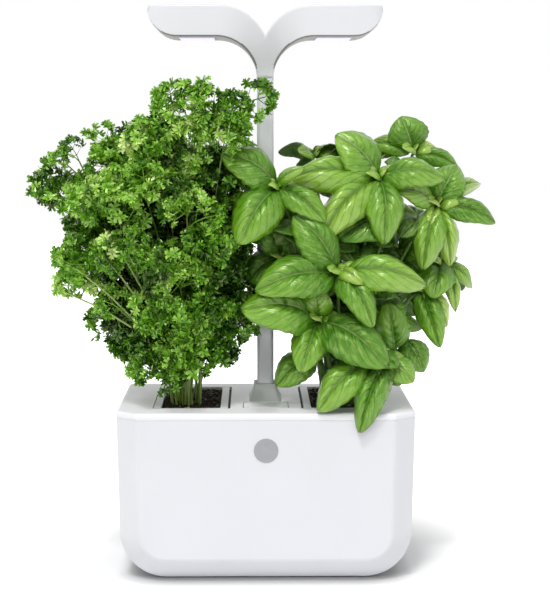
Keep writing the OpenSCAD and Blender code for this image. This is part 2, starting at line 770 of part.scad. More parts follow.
// Lower and upper edge points of the right arm's sections, each with the section's depth
function elbow_low(t) = [elbow_x - elbow_r * cos(90 * t), neck_z + elbow_r * sin(90 * t)];
function elbow_high(t) = let (low = t / fork_share, a = 90 * (t - fork_share) / (1 - fork_share))
    t < fork_share ? [-mast_w / 2, neck_z] * (1 - low) + [fork_x - fork_r, fork_z] * low
    : [fork_x - fork_r * cos(a), fork_z + fork_r * sin(a)];
function elbow_section(t) = [elbow_low(t), elbow_high(t), mast_d + (arm_d - mast_d) * ease(t)];
function tip_section(a) = [[straight_x + tip_l * sin(a), arm_top_z - arm_t * cos(a)],
    [straight_x + (tip_l - 1) * sin(a), arm_top_z], arm_d + (tip_d - arm_d) * (1 - cos(a))];
arm_sections = concat([for (i = [0:elbow_steps]) elbow_section(i / elbow_steps)],
    [for (i = [0:tip_steps]) tip_section(tip_sweep * i / tip_steps)]);

// A section's outline as a thin plate, drawn in by inset
module section_plate(section, inset) {
    span = section[1] - section[0];
    thick = norm(span) - 2 * inset;
    deep = section[2] - 2 * inset;
    r = min(max(arm_edge_r - inset, 1), thick * 0.4);
    middle = (section[0] + section[1]) / 2;
    translate([middle[0], 0, middle[1]]) rotate([0, 90 - atan2(span[1], span[0]), 0])
        rotate([90, 0, 0]) rotate([0, 90, 0]) linear_extrude(slab, center = true)
            polygon([for (q = [0:3], i = [0:3]) let (a = 90 * q + 30 * i,
                sx = (q == 0 || q == 3) ? 1 : -1, sy = q < 2 ? 1 : -1)
                [sx * (deep / 2 - r) + r * cos(a), sy * (thick / 2 - r) + r * sin(a)]]);
}

// One arm's outer or inner form as a chain of hulls from section to section
module arm_form(inset, last) {
    for (i = [0:last - 1]) hull() {
        section_plate(arm_sections[i], inset);
        section_plate(arm_sections[i + 1], inset);
    }
}

module both_arms() {
    children();
    mirror([1, 0, 0]) children();
}

module lamp_housing() {
    spigot_w = mast_w - 2 * mast_wall - 2 * fitted_gap;
    spigot_d = mast_d - 2 * mast_wall - 2 * fitted_gap;
    spigot_h = 14;
    last = len(arm_sections) - 1;
    color("white") difference() {
        union() {
            both_arms() arm_form(0, last);
            round_block(spigot_w, spigot_d, spigot_h, neck_z - spigot_h + slab, mast_bore_r);
        }
        both_arms() arm_form(arm_wall, last - 2);
        block(spigot_w - 2.4, spigot_d - 2.4, spigot_h + 4, neck_z - spigot_h - cut);
        for (side = [-1, 1]) translate([side * window_x, 0, 0])
            block(window_l + 2 * window_gap, window_d + 2 * window_gap, arm_wall + 2 * cut,
                arm_under_z - cut);
    }
}

module light_window(side) {
    color("lavender") translate([side * window_x, 0, 0]) union() {
        round_block(window_l, window_d, arm_wall + window_proud + slab, arm_under_z - window_proud, 1.5);
        block(window_l + 2 * window_flange, window_d + 2 * window_flange, window_flange_t,
            arm_under_z + arm_wall);
    }
}

module led_board(side) {
    color("white") translate([side * window_x, 0, 0])
        block(window_l - 2, window_d - 4, led_board_t, led_board_z);
}

module led_emitters(side) {
    rows = 3;
    columns = 4;
    color("khaki") for (i = [0:rows - 1], j = [0:columns - 1])
        translate([side * window_x + (i - (rows - 1) / 2) * window_l / (rows + 0.5),
            (j - (columns - 1) / 2) * window_d / (columns + 1), 0])
            block(led_size, led_size, led_h, led_board_z - led_h);
}

module heat_spreader(side) {
    fins = 4;
    color("silver") translate([side * window_x, 0, 0]) union() {
        block(window_l - 2, window_d, spreader_t, spreader_z);
        for (i = [0:fins - 1]) translate([0, (i - (fins - 1) / 2) * (window_d - 6) / (fins - 1), 0])
            block(window_l - 2, fin_t, roof_z - spreader_z, spreader_z);
    }
}

module light_window_left() { light_window(-1); }
module light_window_right() { light_window(1); }
module led_board_left() { led_board(-1); }
module led_board_right() { led_board(1); }
module led_emitters_left() { led_emitters(-1); }
module led_emitters_right() { led_emitters(1); }
module heat_spreader_left() { heat_spreader(-1); }
module heat_spreader_right() { heat_spreader(1); }

// Middle of the right arm's section at a step of the elbow
function arm_middle(t) = let (s = elbow_section(t)) [(s[0][0] + s[1][0]) / 2, 0, (s[0][1] + s[1][1]) / 2];

// The lead up the mast, which branches to both LED boards
module lamp_lead() {
    branch_x = window_near - 1;
    branch = concat([[0, 0, neck_z]], [for (t = [0.3:0.2:0.9]) arm_middle(t)],
        [[branch_x, 0, spreader_z + spreader_t / 2]]);
    color("black") union() {
        link([0, 0, foot_z], [0, 0, neck_z], lead_dia / 2);
        for (side = [-1, 1], i = [0:len(branch) - 2])
            link([side * branch[i][0], 0, branch[i][2]], [side * branch[i + 1][0], 0, branch[i + 1][2]],
                lead_dia / 2);
    }
}

// A short round-ended bar between two points
module link(a, b, r) {
    hull() {
        translate(a) sphere(r = r, $fn = 8);
        translate(b) sphere(r = r, $fn = 8);
    }
}

// ---------- pods ----------

module pod_tray(side) {
    color("white") at_pod(side) difference() {
        union() {
            round_block(pod_w, pod_l, pod_rim_t, pod_rim_z, pod_corner_r);
            round_block(tray_w, tray_l, tray_h + slab, tray_z, soil_corner_r + tray_wall);
        }
        round_block(soil_w, soil_l, tray_h + pod_rim_t + cut, tray_z + tray_wall, soil_corner_r);
        block(wick_w + 2 * soil_gap, wick_t + 2 * soil_gap, tray_wall + 2 * cut, tray_z - cut);
        for (x = [-1, 1], y = [-1, 1])
            translate([x * soil_w / 4, y * soil_l / 4, tray_z - cut])
                cylinder(d = drain_dia, h = tray_wall + 2 * cut, $fn = 32);
    }
}

module soil_block(side) {
    color([0.16, 0.11, 0.08]) at_pod(side) difference() {
        round_block(soil_w - 2 * soil_gap, soil_l - 2 * soil_gap, soil_z - tray_z - tray_wall,
            tray_z + tray_wall, soil_corner_r);
        block(wick_w, wick_t, wick_rise + cut, tray_z + tray_wall - cut);
    }
}

module wick(side) {
    color("ivory") at_pod(side)
        block(wick_w, wick_t, wick_drop + tray_wall + wick_rise, tray_z - wick_drop);
}

module pod_tray_left() { pod_tray(-1); }
module pod_tray_right() { pod_tray(1); }
module soil_block_left() { soil_block(-1); }
module soil_block_right() { soil_block(1); }
module wick_left() { wick(-1); }
module wick_right() { wick(1); }

// ---------- plants ----------

// A flat leaf from its base to its tip, with its face turned up and away from the mast. Each station is a
// share of the leaf's length and of its width.
module leaf(base, tip, width, stations) {
    way = tip - base;
    ahead = way / norm(way);
    facing = base[1] < 0 ? [0, -0.8, 0.6] : [0, 0.5, 0.85];
    across = cross(ahead, facing);
    side = norm(across) < 0.2 ? [1, 0, 0] : across / norm(across);
    up = cross(side, ahead) * leaf_t / 2;
    last = len(stations) - 1;
    over = 2 * len(stations);
    points = [for (layer = [-1, 1], s = stations, edge = [-1, 1])
        base + way * s[0] + side * width * s[1] * edge + up * layer];
    flats = [for (k = [0:2:2 * last - 2]) each [[k, k + 1, k + 3], [k, k + 3, k + 2],
        [over + k, over + k + 3, over + k + 1], [over + k, over + k + 2, over + k + 3]]];
    edges = [for (k = [0:2:2 * last - 2]) each [[k, k + 2, over + k + 2], [k, over + k + 2, over + k],
        [k + 1, over + k + 3, k + 3], [k + 1, over + k + 1, over + k + 3]]];
    ends = [[0, over, over + 1], [0, over + 1, 1],
        [2 * last, 2 * last + 1, over + 2 * last + 1], [2 * last, over + 2 * last + 1, over + 2 * last]];
    polyhedron(points, concat(flats, edges, ends));
}
frond_stations = [[0, 0.05], [0.5, 0.5], [1, 0.04]];
basil_stations = [[0, 0.05], [0.32, 0.46], [0.62, 0.42], [1, 0.03]];

// A square twig between two points
module twig(a, b, r) {
    hull() {
        translate(a) cube(2 * r, center = true);
        translate(b) cube(2 * r, center = true);
    }
}

// A stem that rises from the soil and bends out to its shoot
module stem(shoot) {
    foot = [max(-1, min(1, shoot[0] / 60)) * soil_w / 3, max(-1, min(1, shoot[1] / 60)) * soil_l / 4, 0];
    middle = [foot[0] + (shoot[0] - foot[0]) * 0.35, foot[1] + (shoot[1] - foot[1]) * 0.35, shoot[2] * 0.55];
    twig(foot, middle, plant_stem_dia / 2);
    twig(middle, shoot, plant_stem_dia / 3);
}

// Keeps a plant above the soil of its pod
module planted(side) {
    translate([side * pod_x, pod_y, soil_z]) intersection() {
        block(plant_room, plant_room, plant_room, 0);
        union() children();
    }
}

// Way from a parsley shoot to the tip of one of its two fronds: one points outwards, one turns up
function frond_way(shoot, i, j) = let (out = atan2(shoot[1], shoot[0]),
    turn = out + j * frond_fan + frond_scatter * (i % 3 - 1),
    rise = frond_rise[j] + frond_rise_step[j] * (i % (2 + j)))
    frond_l * [cos(turn) * cos(rise), sin(turn) * cos(rise), sin(rise)];

module parsley_plant() {
    color("forestgreen") planted(-1) {
        for (shoot = parsley_shoots) stem(shoot);
        twig(parsley_shoots[8], parsley_sprig[0], plant_stem_dia / 3);
        leaf(parsley_sprig[0], parsley_sprig[1], frond_w / 2, frond_stations);
        for (i = [0:len(parsley_shoots) - 1], j = [0:1])
            leaf(parsley_shoots[i], parsley_shoots[i] + frond_way(parsley_shoots[i], i, j), frond_w,
                frond_stations);
    }
}

module basil_plant() {
    color("limegreen") planted(1) {
        for (shoot = basil_shoots) stem(shoot[0]);
        for (shoot = basil_shoots, k = [1:len(shoot) - 1]) let (way = shoot[k])
            leaf(shoot[0], shoot[0] + [way[0], way[1], way[2]], way[3], basil_stations);
    }
}

// ---------- the whole part ----------

tank_shell();
anti_slip_pad();
front_badge();
lid_deck();
mast_collar();
mast_well();
mast_guide();
well_screws();
lamp_lead_coil();
link_lead();
flap_hinge_pin();
fill_flap();
control_box();
box_gasket();
box_screws();
control_board();
timer_switch();
power_jack();
timer_button();
float_stem();
float_stop();
level_float();
mast();
mast_foot();
lamp_housing();
lamp_lead();
light_window_left();
light_window_right();
led_board_left();
led_board_right();
led_emitters_left();
led_emitters_right();
heat_spreader_left();
heat_spreader_right();
pod_tray_left();
pod_tray_right();
soil_block_left();
soil_block_right();
wick_left();
wick_right();
parsley_plant();
basil_plant();
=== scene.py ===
import json
import random
from functools import partial
from math import atan2, cos, pi, radians, sin

import bmesh
import bpy
from mathutils import Matrix, Vector, noise

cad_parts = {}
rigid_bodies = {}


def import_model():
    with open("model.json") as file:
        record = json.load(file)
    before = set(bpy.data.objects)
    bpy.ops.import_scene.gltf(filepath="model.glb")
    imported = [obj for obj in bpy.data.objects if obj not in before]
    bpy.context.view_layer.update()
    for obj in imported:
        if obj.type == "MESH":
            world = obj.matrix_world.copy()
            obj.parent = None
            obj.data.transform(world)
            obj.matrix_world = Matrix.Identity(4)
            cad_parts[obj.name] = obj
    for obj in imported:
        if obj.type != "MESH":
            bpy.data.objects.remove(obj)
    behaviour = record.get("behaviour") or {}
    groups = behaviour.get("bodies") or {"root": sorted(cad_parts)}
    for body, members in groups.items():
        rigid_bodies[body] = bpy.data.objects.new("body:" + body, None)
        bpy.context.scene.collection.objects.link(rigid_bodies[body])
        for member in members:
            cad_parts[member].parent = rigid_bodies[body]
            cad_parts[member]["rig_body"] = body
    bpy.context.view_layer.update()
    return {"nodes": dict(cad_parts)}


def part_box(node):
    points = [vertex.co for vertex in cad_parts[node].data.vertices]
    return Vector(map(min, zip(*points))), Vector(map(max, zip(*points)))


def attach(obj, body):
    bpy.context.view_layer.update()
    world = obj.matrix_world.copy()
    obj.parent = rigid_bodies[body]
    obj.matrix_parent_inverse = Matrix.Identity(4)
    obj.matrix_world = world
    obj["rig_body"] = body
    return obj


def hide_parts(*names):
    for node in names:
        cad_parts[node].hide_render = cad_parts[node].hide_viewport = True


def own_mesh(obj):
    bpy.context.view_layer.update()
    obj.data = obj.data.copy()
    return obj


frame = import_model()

mm = 0.001


# ---------- Camera ----------
# A long lens a little above the lid, in front of the garden and just left of its middle, tipped
# down by about five degrees. It has no shift and no depth of field.
lens = bpy.data.cameras.new("studio_camera")
lens.lens = 106.13
lens.sensor_width = 36
camera = bpy.data.objects.new("studio_camera", lens)
camera.location = (-0.00984, -1.33893, 0.32646)
camera.rotation_euler = (radians(90 - 5.298), 0, radians(-0.740))
bpy.context.scene.collection.objects.link(camera)
bpy.context.scene.camera = camera


# ---------- Tank ----------
# The water tank is one injection moulding in white ABS with a fine satin grain. It draws out of
# the mould to the rear, and a broad 45 degree bevel runs round its front face.
tank_half_rim = 110 * mm
tank_half_base = 107.2 * mm
tank_front_y = -78 * mm
tank_back_y = 78 * mm
tank_base_z = 0.8 * mm
rim_z = 120 * mm
bend_radius = 34 * mm
front_bevel = 15.5 * mm
tank_wall = 2.5 * mm
edge_round = 2.2 * mm
rim_round = 0.7 * mm
cable_notch_x = 24.5 * mm
cable_notch_z = 96.5 * mm
crease_from = radians(25)
square_on = 0.99
weld = 1e-6
gloss_drift = 0.04


def wire(tree, node, sockets):
    """Sets a shader node's sockets, each to a value or linked from another node's socket."""
    for name, value in sockets.items():
        if isinstance(value, bpy.types.NodeSocket):
            tree.links.new(value, node.inputs[name])
        else:
            node.inputs[name].default_value = value


def add_node(tree, kind, sockets=(), **settings):
    """Adds a shader node with its settings and its sockets."""
    node = tree.nodes.new("ShaderNode" + kind)
    for name, value in settings.items():
        setattr(node, name, value)
    wire(tree, node, dict(sockets))
    return node


def blank_material(name):
    """A new material, its nodes, its shader, and places on the object to lay patterns by."""
    material = bpy.data.materials.new(name)
    material.use_nodes = True
    tree = material.node_tree
    place = add_node(tree, "TexCoord").outputs["Object"]
    return material, tree, tree.nodes["Principled BSDF"], place


def clouds(tree, place, scale, detail):
    """A soft cloudy pattern between 0 and 1."""
    return add_node(tree, "TexNoise", {"Vector": place, "Scale": scale,
                                       "Detail": detail}).outputs["Fac"]


def shade_row(tree, share, stops):
    """Picks from a row of shades by a share between 0 and 1."""
    ramp = add_node(tree, "ValToRGB", {"Fac": share})
    for stop, (position, colour) in zip(ramp.color_ramp.elements, (stops[0], stops[-1])):
        stop.position = position
        stop.color = (*colour, 1)
    for position, colour in stops[1:-1]:
        ramp.color_ramp.elements.new(position).color = (*colour, 1)
    return ramp.outputs["Color"]


def stretched(tree, value, to_range, from_range=(0, 1), way="LINEAR"):
    """Stretches a value from one range over another."""
    ends = dict(enumerate((value, *from_range, *to_range)))
    return add_node(tree, "MapRange", ends, interpolation_type=way).outputs["Result"]


def emboss(tree, shader, height, strength, depth):
    """Lays a relief over the one that a shader has already."""
    relief = add_node(tree, "Bump", {"Height": height, "Strength": strength, "Distance": depth})
    for under in [link.from_socket for link in shader.inputs["Normal"].links]:
        tree.links.new(under, relief.inputs["Normal"])
    tree.links.new(relief.outputs["Normal"], shader.inputs["Normal"])


def moulded_plastic(name, colour, roughness, drift=0.02, grain_size=0.35 * mm,
                    grain_depth=0.012 * mm, finish=()):
    """Plastic with a faint drift in its shade and gloss, and a fine grain from the mould."""
    material, tree, shader, place = blank_material(name)
    flow = clouds(tree, place, 22, 3)
    shades = ((0.3, [c * (1 - drift) for c in colour]), (0.7, colour))
    gloss = stretched(tree, flow, (roughness - gloss_drift, roughness + gloss_drift))
    wire(tree, shader, {"Base Color": shade_row(tree, flow, shades), "Roughness": gloss,
                        **dict(finish)})
    emboss(tree, shader, clouds(tree, place, 1 / grain_size, 2), 0.25, grain_depth)
    return material


def whole(form):
    """All points, edges and faces of a form."""
    return form.verts[:] + form.edges[:] + form.faces[:]


def face_out(form):
    """Turns the faces of a form outwards."""
    bmesh.ops.recalc_face_normals(form, faces=form.faces)


def round_off(form, geom, width, steps, affect="EDGES"):
    """Rounds edges or corners of a form."""
    bmesh.ops.bevel(form, geom=geom, offset=width, affect=affect, segments=steps, profile=0.5,
                    material=-1, clamp_overlap=affect == "EDGES")


def finished_mesh(name, form):
    """Turns a form into a mesh."""
    mesh = bpy.data.meshes.new(name)
    form.to_mesh(mesh)
    form.free()
    return mesh


def place_piece(name, form, materials, body, smooth_angle=35):
    """Turns a finished form into an object that rides on a body of the frame."""
    mesh = finished_mesh(name, form)
    for material in materials:
        mesh.materials.append(material)
    mesh.shade_smooth()
    mesh.set_sharp_from_angle(angle=radians(smooth_angle))
    piece = bpy.data.objects.new(name, mesh)
    bpy.context.scene.collection.objects.link(piece)
    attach(piece, body)
    return piece


def thicken(piece, wall):
    """Gives a shell its wall on the inner side."""
    inner = piece.modifiers.new("wall", "SOLIDIFY")
    inner.thickness = wall
    inner.offset = -1
    inner.use_even_offset = True


def even_shading(piece):
    """Keeps flat faces flat next to rounded edges."""
    piece.modifiers.new("even_shading", "WEIGHTED_NORMAL").keep_sharp = True


def score(form, picked, cuts):
    """Scores the picked faces of a form along straight cuts."""
    for cut_co, cut_no in cuts:
        faces = [f for f in form.faces if picked(f)]
        bmesh.ops.bisect_plane(form, dist=weld, plane_co=cut_co, plane_no=cut_no,
                               geom=faces + list({e for f in faces for e in f.edges})
                               + list({v for f in faces for v in f.verts}))


def looks_back(face):
    """Tells the flat rear faces from the rest."""
    return face.normal.y > square_on


white_abs = moulded_plastic("white_abs", (0.765, 0.77, 0.805), 0.33)

tank = bmesh.new()
over_rim = rim_z + 2 * front_bevel
slope = (tank_half_rim - tank_half_base) / (rim_z - tank_base_z)
top_half = tank_half_rim + slope * (over_rim - rim_z)
corners = [tank.verts.new(c) for c in (
    (-top_half, tank_back_y, over_rim), (top_half, tank_back_y, over_rim),
    (tank_half_base, tank_back_y, tank_base_z), (-tank_half_base, tank_back_y, tank_base_z))]
tank.faces.new(corners)
round_off(tank, corners[2:], bend_radius, 14, "VERTICES")
back_wall = tank.faces[:]
front = bmesh.ops.extrude_face_region(tank, geom=back_wall)["geom"]
bmesh.ops.translate(tank, vec=(0, tank_front_y + front_bevel - tank_back_y, 0),
                    verts=[v for v in front if isinstance(v, bmesh.types.BMVert)])
face_out(tank)
front_face = min(tank.faces, key=lambda f: f.calc_center_median().y)
bmesh.ops.inset_region(tank, faces=[front_face], thickness=front_bevel, depth=front_bevel,
                       use_even_offset=True)
tank.normal_update()
creases = [e for e in tank.edges if e.is_manifold and e.calc_face_angle() > crease_from
           and max(v.co.z for v in e.verts) > tank_base_z - mm]
round_off(tank, creases, edge_round, 4)
bmesh.ops.bisect_plane(tank, geom=whole(tank), dist=weld, plane_co=(0, 0, rim_z),
                       plane_no=(0, 0, 1), clear_outer=True)
score(tank, looks_back, (((cable_notch_x, 0, 0), (1, 0, 0)), ((-cable_notch_x, 0, 0), (-1, 0, 0)),
                         ((0, 0, cable_notch_z), (0, 0, 1))))
notch = [f for f in tank.faces if looks_back(f) and abs(f.calc_center_bounds().x) < cable_notch_x
         and f.calc_center_bounds().z > cable_notch_z]
bmesh.ops.delete(tank, geom=notch, context="FACES")
tank_body = place_piece("tank_body", tank, [white_abs], "tank")
thicken(tank_body, tank_wall)
rim_edge = tank_body.modifiers.new("rim_edge", "BEVEL")
rim_edge.width = rim_round
rim_edge.segments = 2
rim_edge.limit_method = "ANGLE"
rim_edge.angle_limit = radians(60)
even_shading(tank_body)
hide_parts("tank_shell")


# ---------- Pad and badge ----------
# A black rubber mat is pressed into a shallow recess under the tank so that it doesn't slide.
# A plain round badge with one ring groove is glued into the tank's face.


def give(node, material):
    """Gives a piece of the frame its finish."""
    frame["nodes"][node].material_slots[0].material = material


black_rubber = moulded_plastic("black_rubber", (0.035, 0.035, 0.037), 0.75, drift=0.25,
                               grain_size=0.8 * mm, grain_depth=0.08 * mm)
satin_grey = moulded_plastic("satin_grey", (0.36, 0.37, 0.39), 0.28)
give("anti_slip_pad", black_rubber)
give("front_badge", satin_grey)


# ---------- Mast well ----------
# A dry sleeve of grey PP hangs under the lid on four screws, so that the mast can drop below the
# water line. A slick acetal guide sits in its mouth, and the lamp's curly lead is folded in it.
grey_pp = moulded_plastic("grey_pp", (0.52, 0.53, 0.54), 0.45, drift=0.05)
dark_acetal = moulded_plastic("dark_acetal", (0.10, 0.105, 0.11), 0.38, drift=0.1)
lead_pvc = moulded_plastic("lead_pvc", (0.03, 0.03, 0.032), 0.42, drift=0.2, grain_size=0.6 * mm)
screw_steel = moulded_plastic("screw_steel", (0.56, 0.57, 0.58), 0.30, drift=0.15,
                              finish={"Metallic": 1.0})
give("mast_well", grey_pp)
give("mast_guide", dark_acetal)
give("well_screws", screw_steel)

lead_thickness = 2.4 * mm
coil_turns = 4
coil_steps = 16 * coil_turns
coil_low, coil_high = (Vector(c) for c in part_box("lamp_lead_coil"))
coil_middle = (coil_low + coil_high) / 2
coil_height = coil_high.z - coil_low.z


def open_edges(form):
    """The edges that bound a form's holes."""
    return [e for e in form.edges if e.is_boundary]


curl = bmesh.new()
bmesh.ops.create_circle(curl, segments=8, radius=lead_thickness / 2, matrix=Matrix.Translation(
    (coil_high.x - lead_thickness / 2, coil_middle.y, coil_low.z + lead_thickness / 2))
    @ Matrix.Rotation(pi / 2, 4, "X"))
bmesh.ops.spin(curl, geom=curl.verts[:] + curl.edges[:], cent=coil_middle, axis=(0, 0, 1),
               dvec=(0, 0, (coil_height - lead_thickness) / coil_steps), angle=2 * pi * coil_turns,
               steps=coil_steps)
bmesh.ops.holes_fill(curl, edges=open_edges(curl), sides=0)
face_out(curl)
curly_lead = place_piece("curly_lead", curl, [lead_pvc], "lid", 50)
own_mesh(curly_lead)
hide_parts("lamp_lead_coil")


# ---------- Control box ----------
# A two-part box in the lid's plastic hangs in the tank's rear notch behind a foam gasket. It holds
# the timer board with its switch and the power jack, and its lead runs to the mast well.
sharp_from = radians(30)
flat_within = radians(0.5)
merge_gap = 2e-6


def softened(node, name, material, round_by, rounder=()):
    """A merged copy of a frame piece with its sharp edges rounded, which then stands for it. The
    edges that a test picks may be rounded first, by a width of their own."""
    form = bmesh.new()
    form.from_mesh(frame["nodes"][node].data)
    bmesh.ops.remove_doubles(form, verts=form.verts, dist=merge_gap)
    bmesh.ops.dissolve_limit(form, angle_limit=flat_within, verts=form.verts, edges=form.edges)
    for picked, width, steps in (*rounder, (lambda edge: True, round_by, 2)):
        sharp = [e for e in form.edges
                 if e.is_manifold and e.calc_face_angle() > sharp_from and picked(e)]
        round_off(form, sharp, width, steps)
    for attribute in list(form.loops.layers.float_vector):
        form.loops.layers.float_vector.remove(attribute)
    piece = place_piece(name, form, [material], frame["nodes"][node]["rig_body"])
    even_shading(piece)
    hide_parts(node)
    return piece


lid_abs = moulded_plastic("lid_abs", (0.89, 0.89, 0.92), 0.36)
board_green = moulded_plastic("board_green", (0.03, 0.17, 0.07), 0.32, drift=0.3,
                              grain_depth=0.03 * mm)
gasket_foam = moulded_plastic("gasket_foam", (0.06, 0.06, 0.065), 0.9, drift=0.3,
                              grain_size=0.7 * mm, grain_depth=0.12 * mm)
button_grey = moulded_plastic("button_grey", (0.42, 0.43, 0.45), 0.40)
softened("control_box", "box_cover", lid_abs, 0.4 * mm)
give("box_gasket", gasket_foam)
give("box_screws", screw_steel)
give("control_board", board_green)
give("timer_switch", dark_acetal)
give("power_jack", dark_acetal)
give("link_lead", lead_pvc)
give("timer_button", button_grey)


# ---------- Level float ----------
# An orange foamed float slides on a white stem under the lid, and a small stop clip holds it on.
# It closes a reed switch in the stem when the water runs low.
stem_abs = moulded_plastic("stem_abs", (0.74, 0.75, 0.76), 0.4)
float_foam = moulded_plastic("float_foam", (0.80, 0.22, 0.02), 0.55, drift=0.2,
                             grain_size=0.6 * mm, grain_depth=0.06 * mm)
give("float_stem", stem_abs)
give("float_stop", dark_acetal)
give("level_float", float_foam)


# ---------- Lid and filling flap ----------
# The lid is a shallow white moulding with two pod pockets that drops on the rim. Its flat ledges
# in the pockets and under the flap are painted black as painted shade in the gaps. A small flap
# over the filling mouth turns on a steel pin in front of the mast and has two finger notches.
panel_half_width = 27.5 * mm
pocket_ends = (-57.1 * mm, 59.3 * mm)
panel_edge = 0.6 * mm
gap_from_z = rim_z + 2 * mm
finger_gap = 1.2 * mm
shadow_line = 1.1 * mm
shadow_line_height = 0.05 * mm
lid_edge_round = 2.8 * mm
corner_reach = 17 * mm
rim_reach = 3 * mm
gap_shade_heights = (rim_z + 1 * mm, rim_z + 5 * mm)
bevel_line = tank_half_rim - tank_front_y - front_bevel - 1.6 * mm
lid_low, lid_high = (Vector(c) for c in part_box("lid_deck"))
flap_abs = moulded_plastic("flap_abs", (0.92, 0.94, 0.93), 0.38)
gap_shade_black = moulded_plastic("gap_shade_black", (0.03, 0.03, 0.032), 0.7, drift=0.2)


def on_lid_rim(edge):
    """Tells the lid's outer top edge from the edges of its pockets and its filling mouth."""
    return all(v.co.z > lid_high.z - 0.1 * mm
               and (abs(v.co.x) > lid_high.x - corner_reach or v.co.y < lid_low.y + rim_reach
                    or v.co.y > lid_high.y - rim_reach) for v in edge.verts)


lid_cover = softened("lid_deck", "lid_cover", lid_abs, 0.6 * mm,
                     rounder=((on_lid_rim, lid_edge_round, 4),))
for v in lid_cover.data.vertices:
    if (abs(abs(v.co.x) - panel_half_width) < panel_edge and v.co.z > gap_from_z
            and pocket_ends[0] < v.co.y < pocket_ends[1]):
        v.co.x -= finger_gap if v.co.x > 0 else -finger_gap
    at_edge = (abs(v.co.x) > tank_half_rim - mm or abs(v.co.y) > tank_back_y - mm
               or v.co.y < 0 and abs(v.co.x) - v.co.y > bevel_line)
    if at_edge and abs(v.co.z - rim_z) < shadow_line_height:
        v.co.x *= 1 - shadow_line / tank_half_rim
        v.co.y *= 1 - shadow_line / tank_back_y
# The flat ledges just above the rim get the black finish: painted shade in the gaps round the pods
# and the flap.
lid_cover.data.materials.append(gap_shade_black)
for face in lid_cover.data.polygons:
    if face.normal.z > 0.9 and gap_shade_heights[0] < face.center.z < gap_shade_heights[1]:
        face.material_index = 1
softened("fill_flap", "flap_plate", flap_abs, 0.35 * mm)
give("flap_hinge_pin", screw_steel)


# ---------- Collar ----------
# A soft grey TPE boot closes the slot round the mast; the faint green in its grey is a painted
# reflection of the plants above. It is moulded as a flared skirt that sweeps up from the lid into a
# narrow neck, and it is glued to the lid.
collar_base_z = 125.6 * mm
collar_height = 12 * mm
collar_foot = (24.6 * mm, 44 * mm)
collar_neck = (17.4 * mm, 26 * mm)
collar_bore = (13.2 * mm, 20.6 * mm)
collar_corner = 3.2 * mm
flare = 2.4
rise_steps = 8
first_rise, rise_loss = 1.25, 0.5
collar_tpe = moulded_plastic("collar_tpe", (0.55, 0.58, 0.55), 0.5, drift=0.05,
                             grain_depth=0.03 * mm)


def draw_out(form, ring):
    """Draws a ring of edges out into a new ring, and gives its edges and its points."""
    grown = bmesh.ops.extrude_edge_only(form, edges=ring)["geom"]
    return ([g for g in grown if isinstance(g, bmesh.types.BMEdge)],
            [g for g in grown if isinstance(g, bmesh.types.BMVert)])


collar = bmesh.new()
foot = [collar.verts.new((sx * collar_foot[0] / 2, sy * collar_foot[1] / 2, collar_base_z))
        for sx, sy in ((-1, -1), (1, -1), (1, 1), (-1, 1))]
collar.faces.new(foot)
round_off(collar, foot, collar_corner, 5, "VERTICES")
bmesh.ops.delete(collar, geom=collar.faces[:], context="FACES_ONLY")
ring = collar.edges[:]
spread = [1.0, 1.0]
for step in range(1, rise_steps + 1):
    t = step / rise_steps
    now = [(collar_neck[i] + (collar_foot[i] - collar_neck[i]) * (1 - t) ** flare) / collar_foot[i]
           for i in (0, 1)]
    ring, points = draw_out(collar, ring)
    bmesh.ops.scale(collar, vec=(now[0] / spread[0], now[1] / spread[1], 1), verts=points)
    rise = collar_height / rise_steps * (first_rise - rise_loss * t)
    bmesh.ops.translate(collar, vec=(0, 0, rise), verts=points)
    spread = now
top_z = max(v.co.z for v in collar.verts)
bmesh.ops.translate(collar, vec=(0, 0, collar_base_z + collar_height - top_z),
                    verts=list({v for e in ring for v in e.verts}))
for bore_z in (collar_base_z + collar_height, collar_base_z):
    ring, points = draw_out(collar, ring)
    widest = [max(v.co[i] for v in points) for i in (0, 1)]
    bmesh.ops.scale(collar, verts=points,
                    vec=(collar_bore[0] / 2 / widest[0], collar_bore[1] / 2 / widest[1], 1))
    bmesh.ops.translate(collar, vec=(0, 0, bore_z - points[0].co.z), verts=points)
bmesh.ops.bridge_loops(collar, edges=open_edges(collar))
face_out(collar)
collar_boot = place_piece("collar_boot", collar, [collar_tpe], "lid", 50)
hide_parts("mast_collar")


# ---------- Pod trays ----------
# Each pod is a deep white PP basket with a flat rim that rests in the lid's pocket. A felt wick
# hangs through the slot in its floor down into the water.
pod_pp = moulded_plastic("pod_pp", (0.80, 0.805, 0.81), 0.40)
felt = moulded_plastic("felt", (0.72, 0.69, 0.60), 0.95, drift=0.2, grain_size=0.5 * mm,
                       grain_depth=0.15 * mm)
for side in ("left", "right"):
    softened(f"pod_tray_{side}", f"pod_basket_{side}", pod_pp, 0.4 * mm)
    give(f"wick_{side}", felt)


# ---------- Soil ----------
# The baskets are filled with dark coir and peat, pressed flat and then loosened on top into
# crumbs, with a few pale grains of perlite. The plants' stems come up through it.
soil_top_z = 122.6 * mm
soil_half_width = 21.5 * mm
soil_half_length = 53.5 * mm
pod_x = 55.6 * mm
pod_y = 1.1 * mm
crumb_count = 420
crumb_sizes = (0.5, 1.7)
crumb_inset = 1.8 * mm
bed_lift = 0.9 * mm
bed_foot = 0.01 * mm
lump_height, lump_scale = 1.0 * mm, 260
grain_height, grain_scale = 0.6 * mm, 700
grit_every = 19


def loose_earth(name, dark, light, roughness):
    """Crumbly matter: two shades mixed in grains, matt, with a rough relief."""
    material, tree, shader, place = blank_material(name)
    grains = clouds(tree, place, 700, 5)
    wire(tree, shader, {"Roughness": roughness,
                        "Base Color": shade_row(tree, grains, ((0.35, dark), (0.7, light)))})
    emboss(tree, shader, grains, 0.8, 0.5 * mm)
    return material


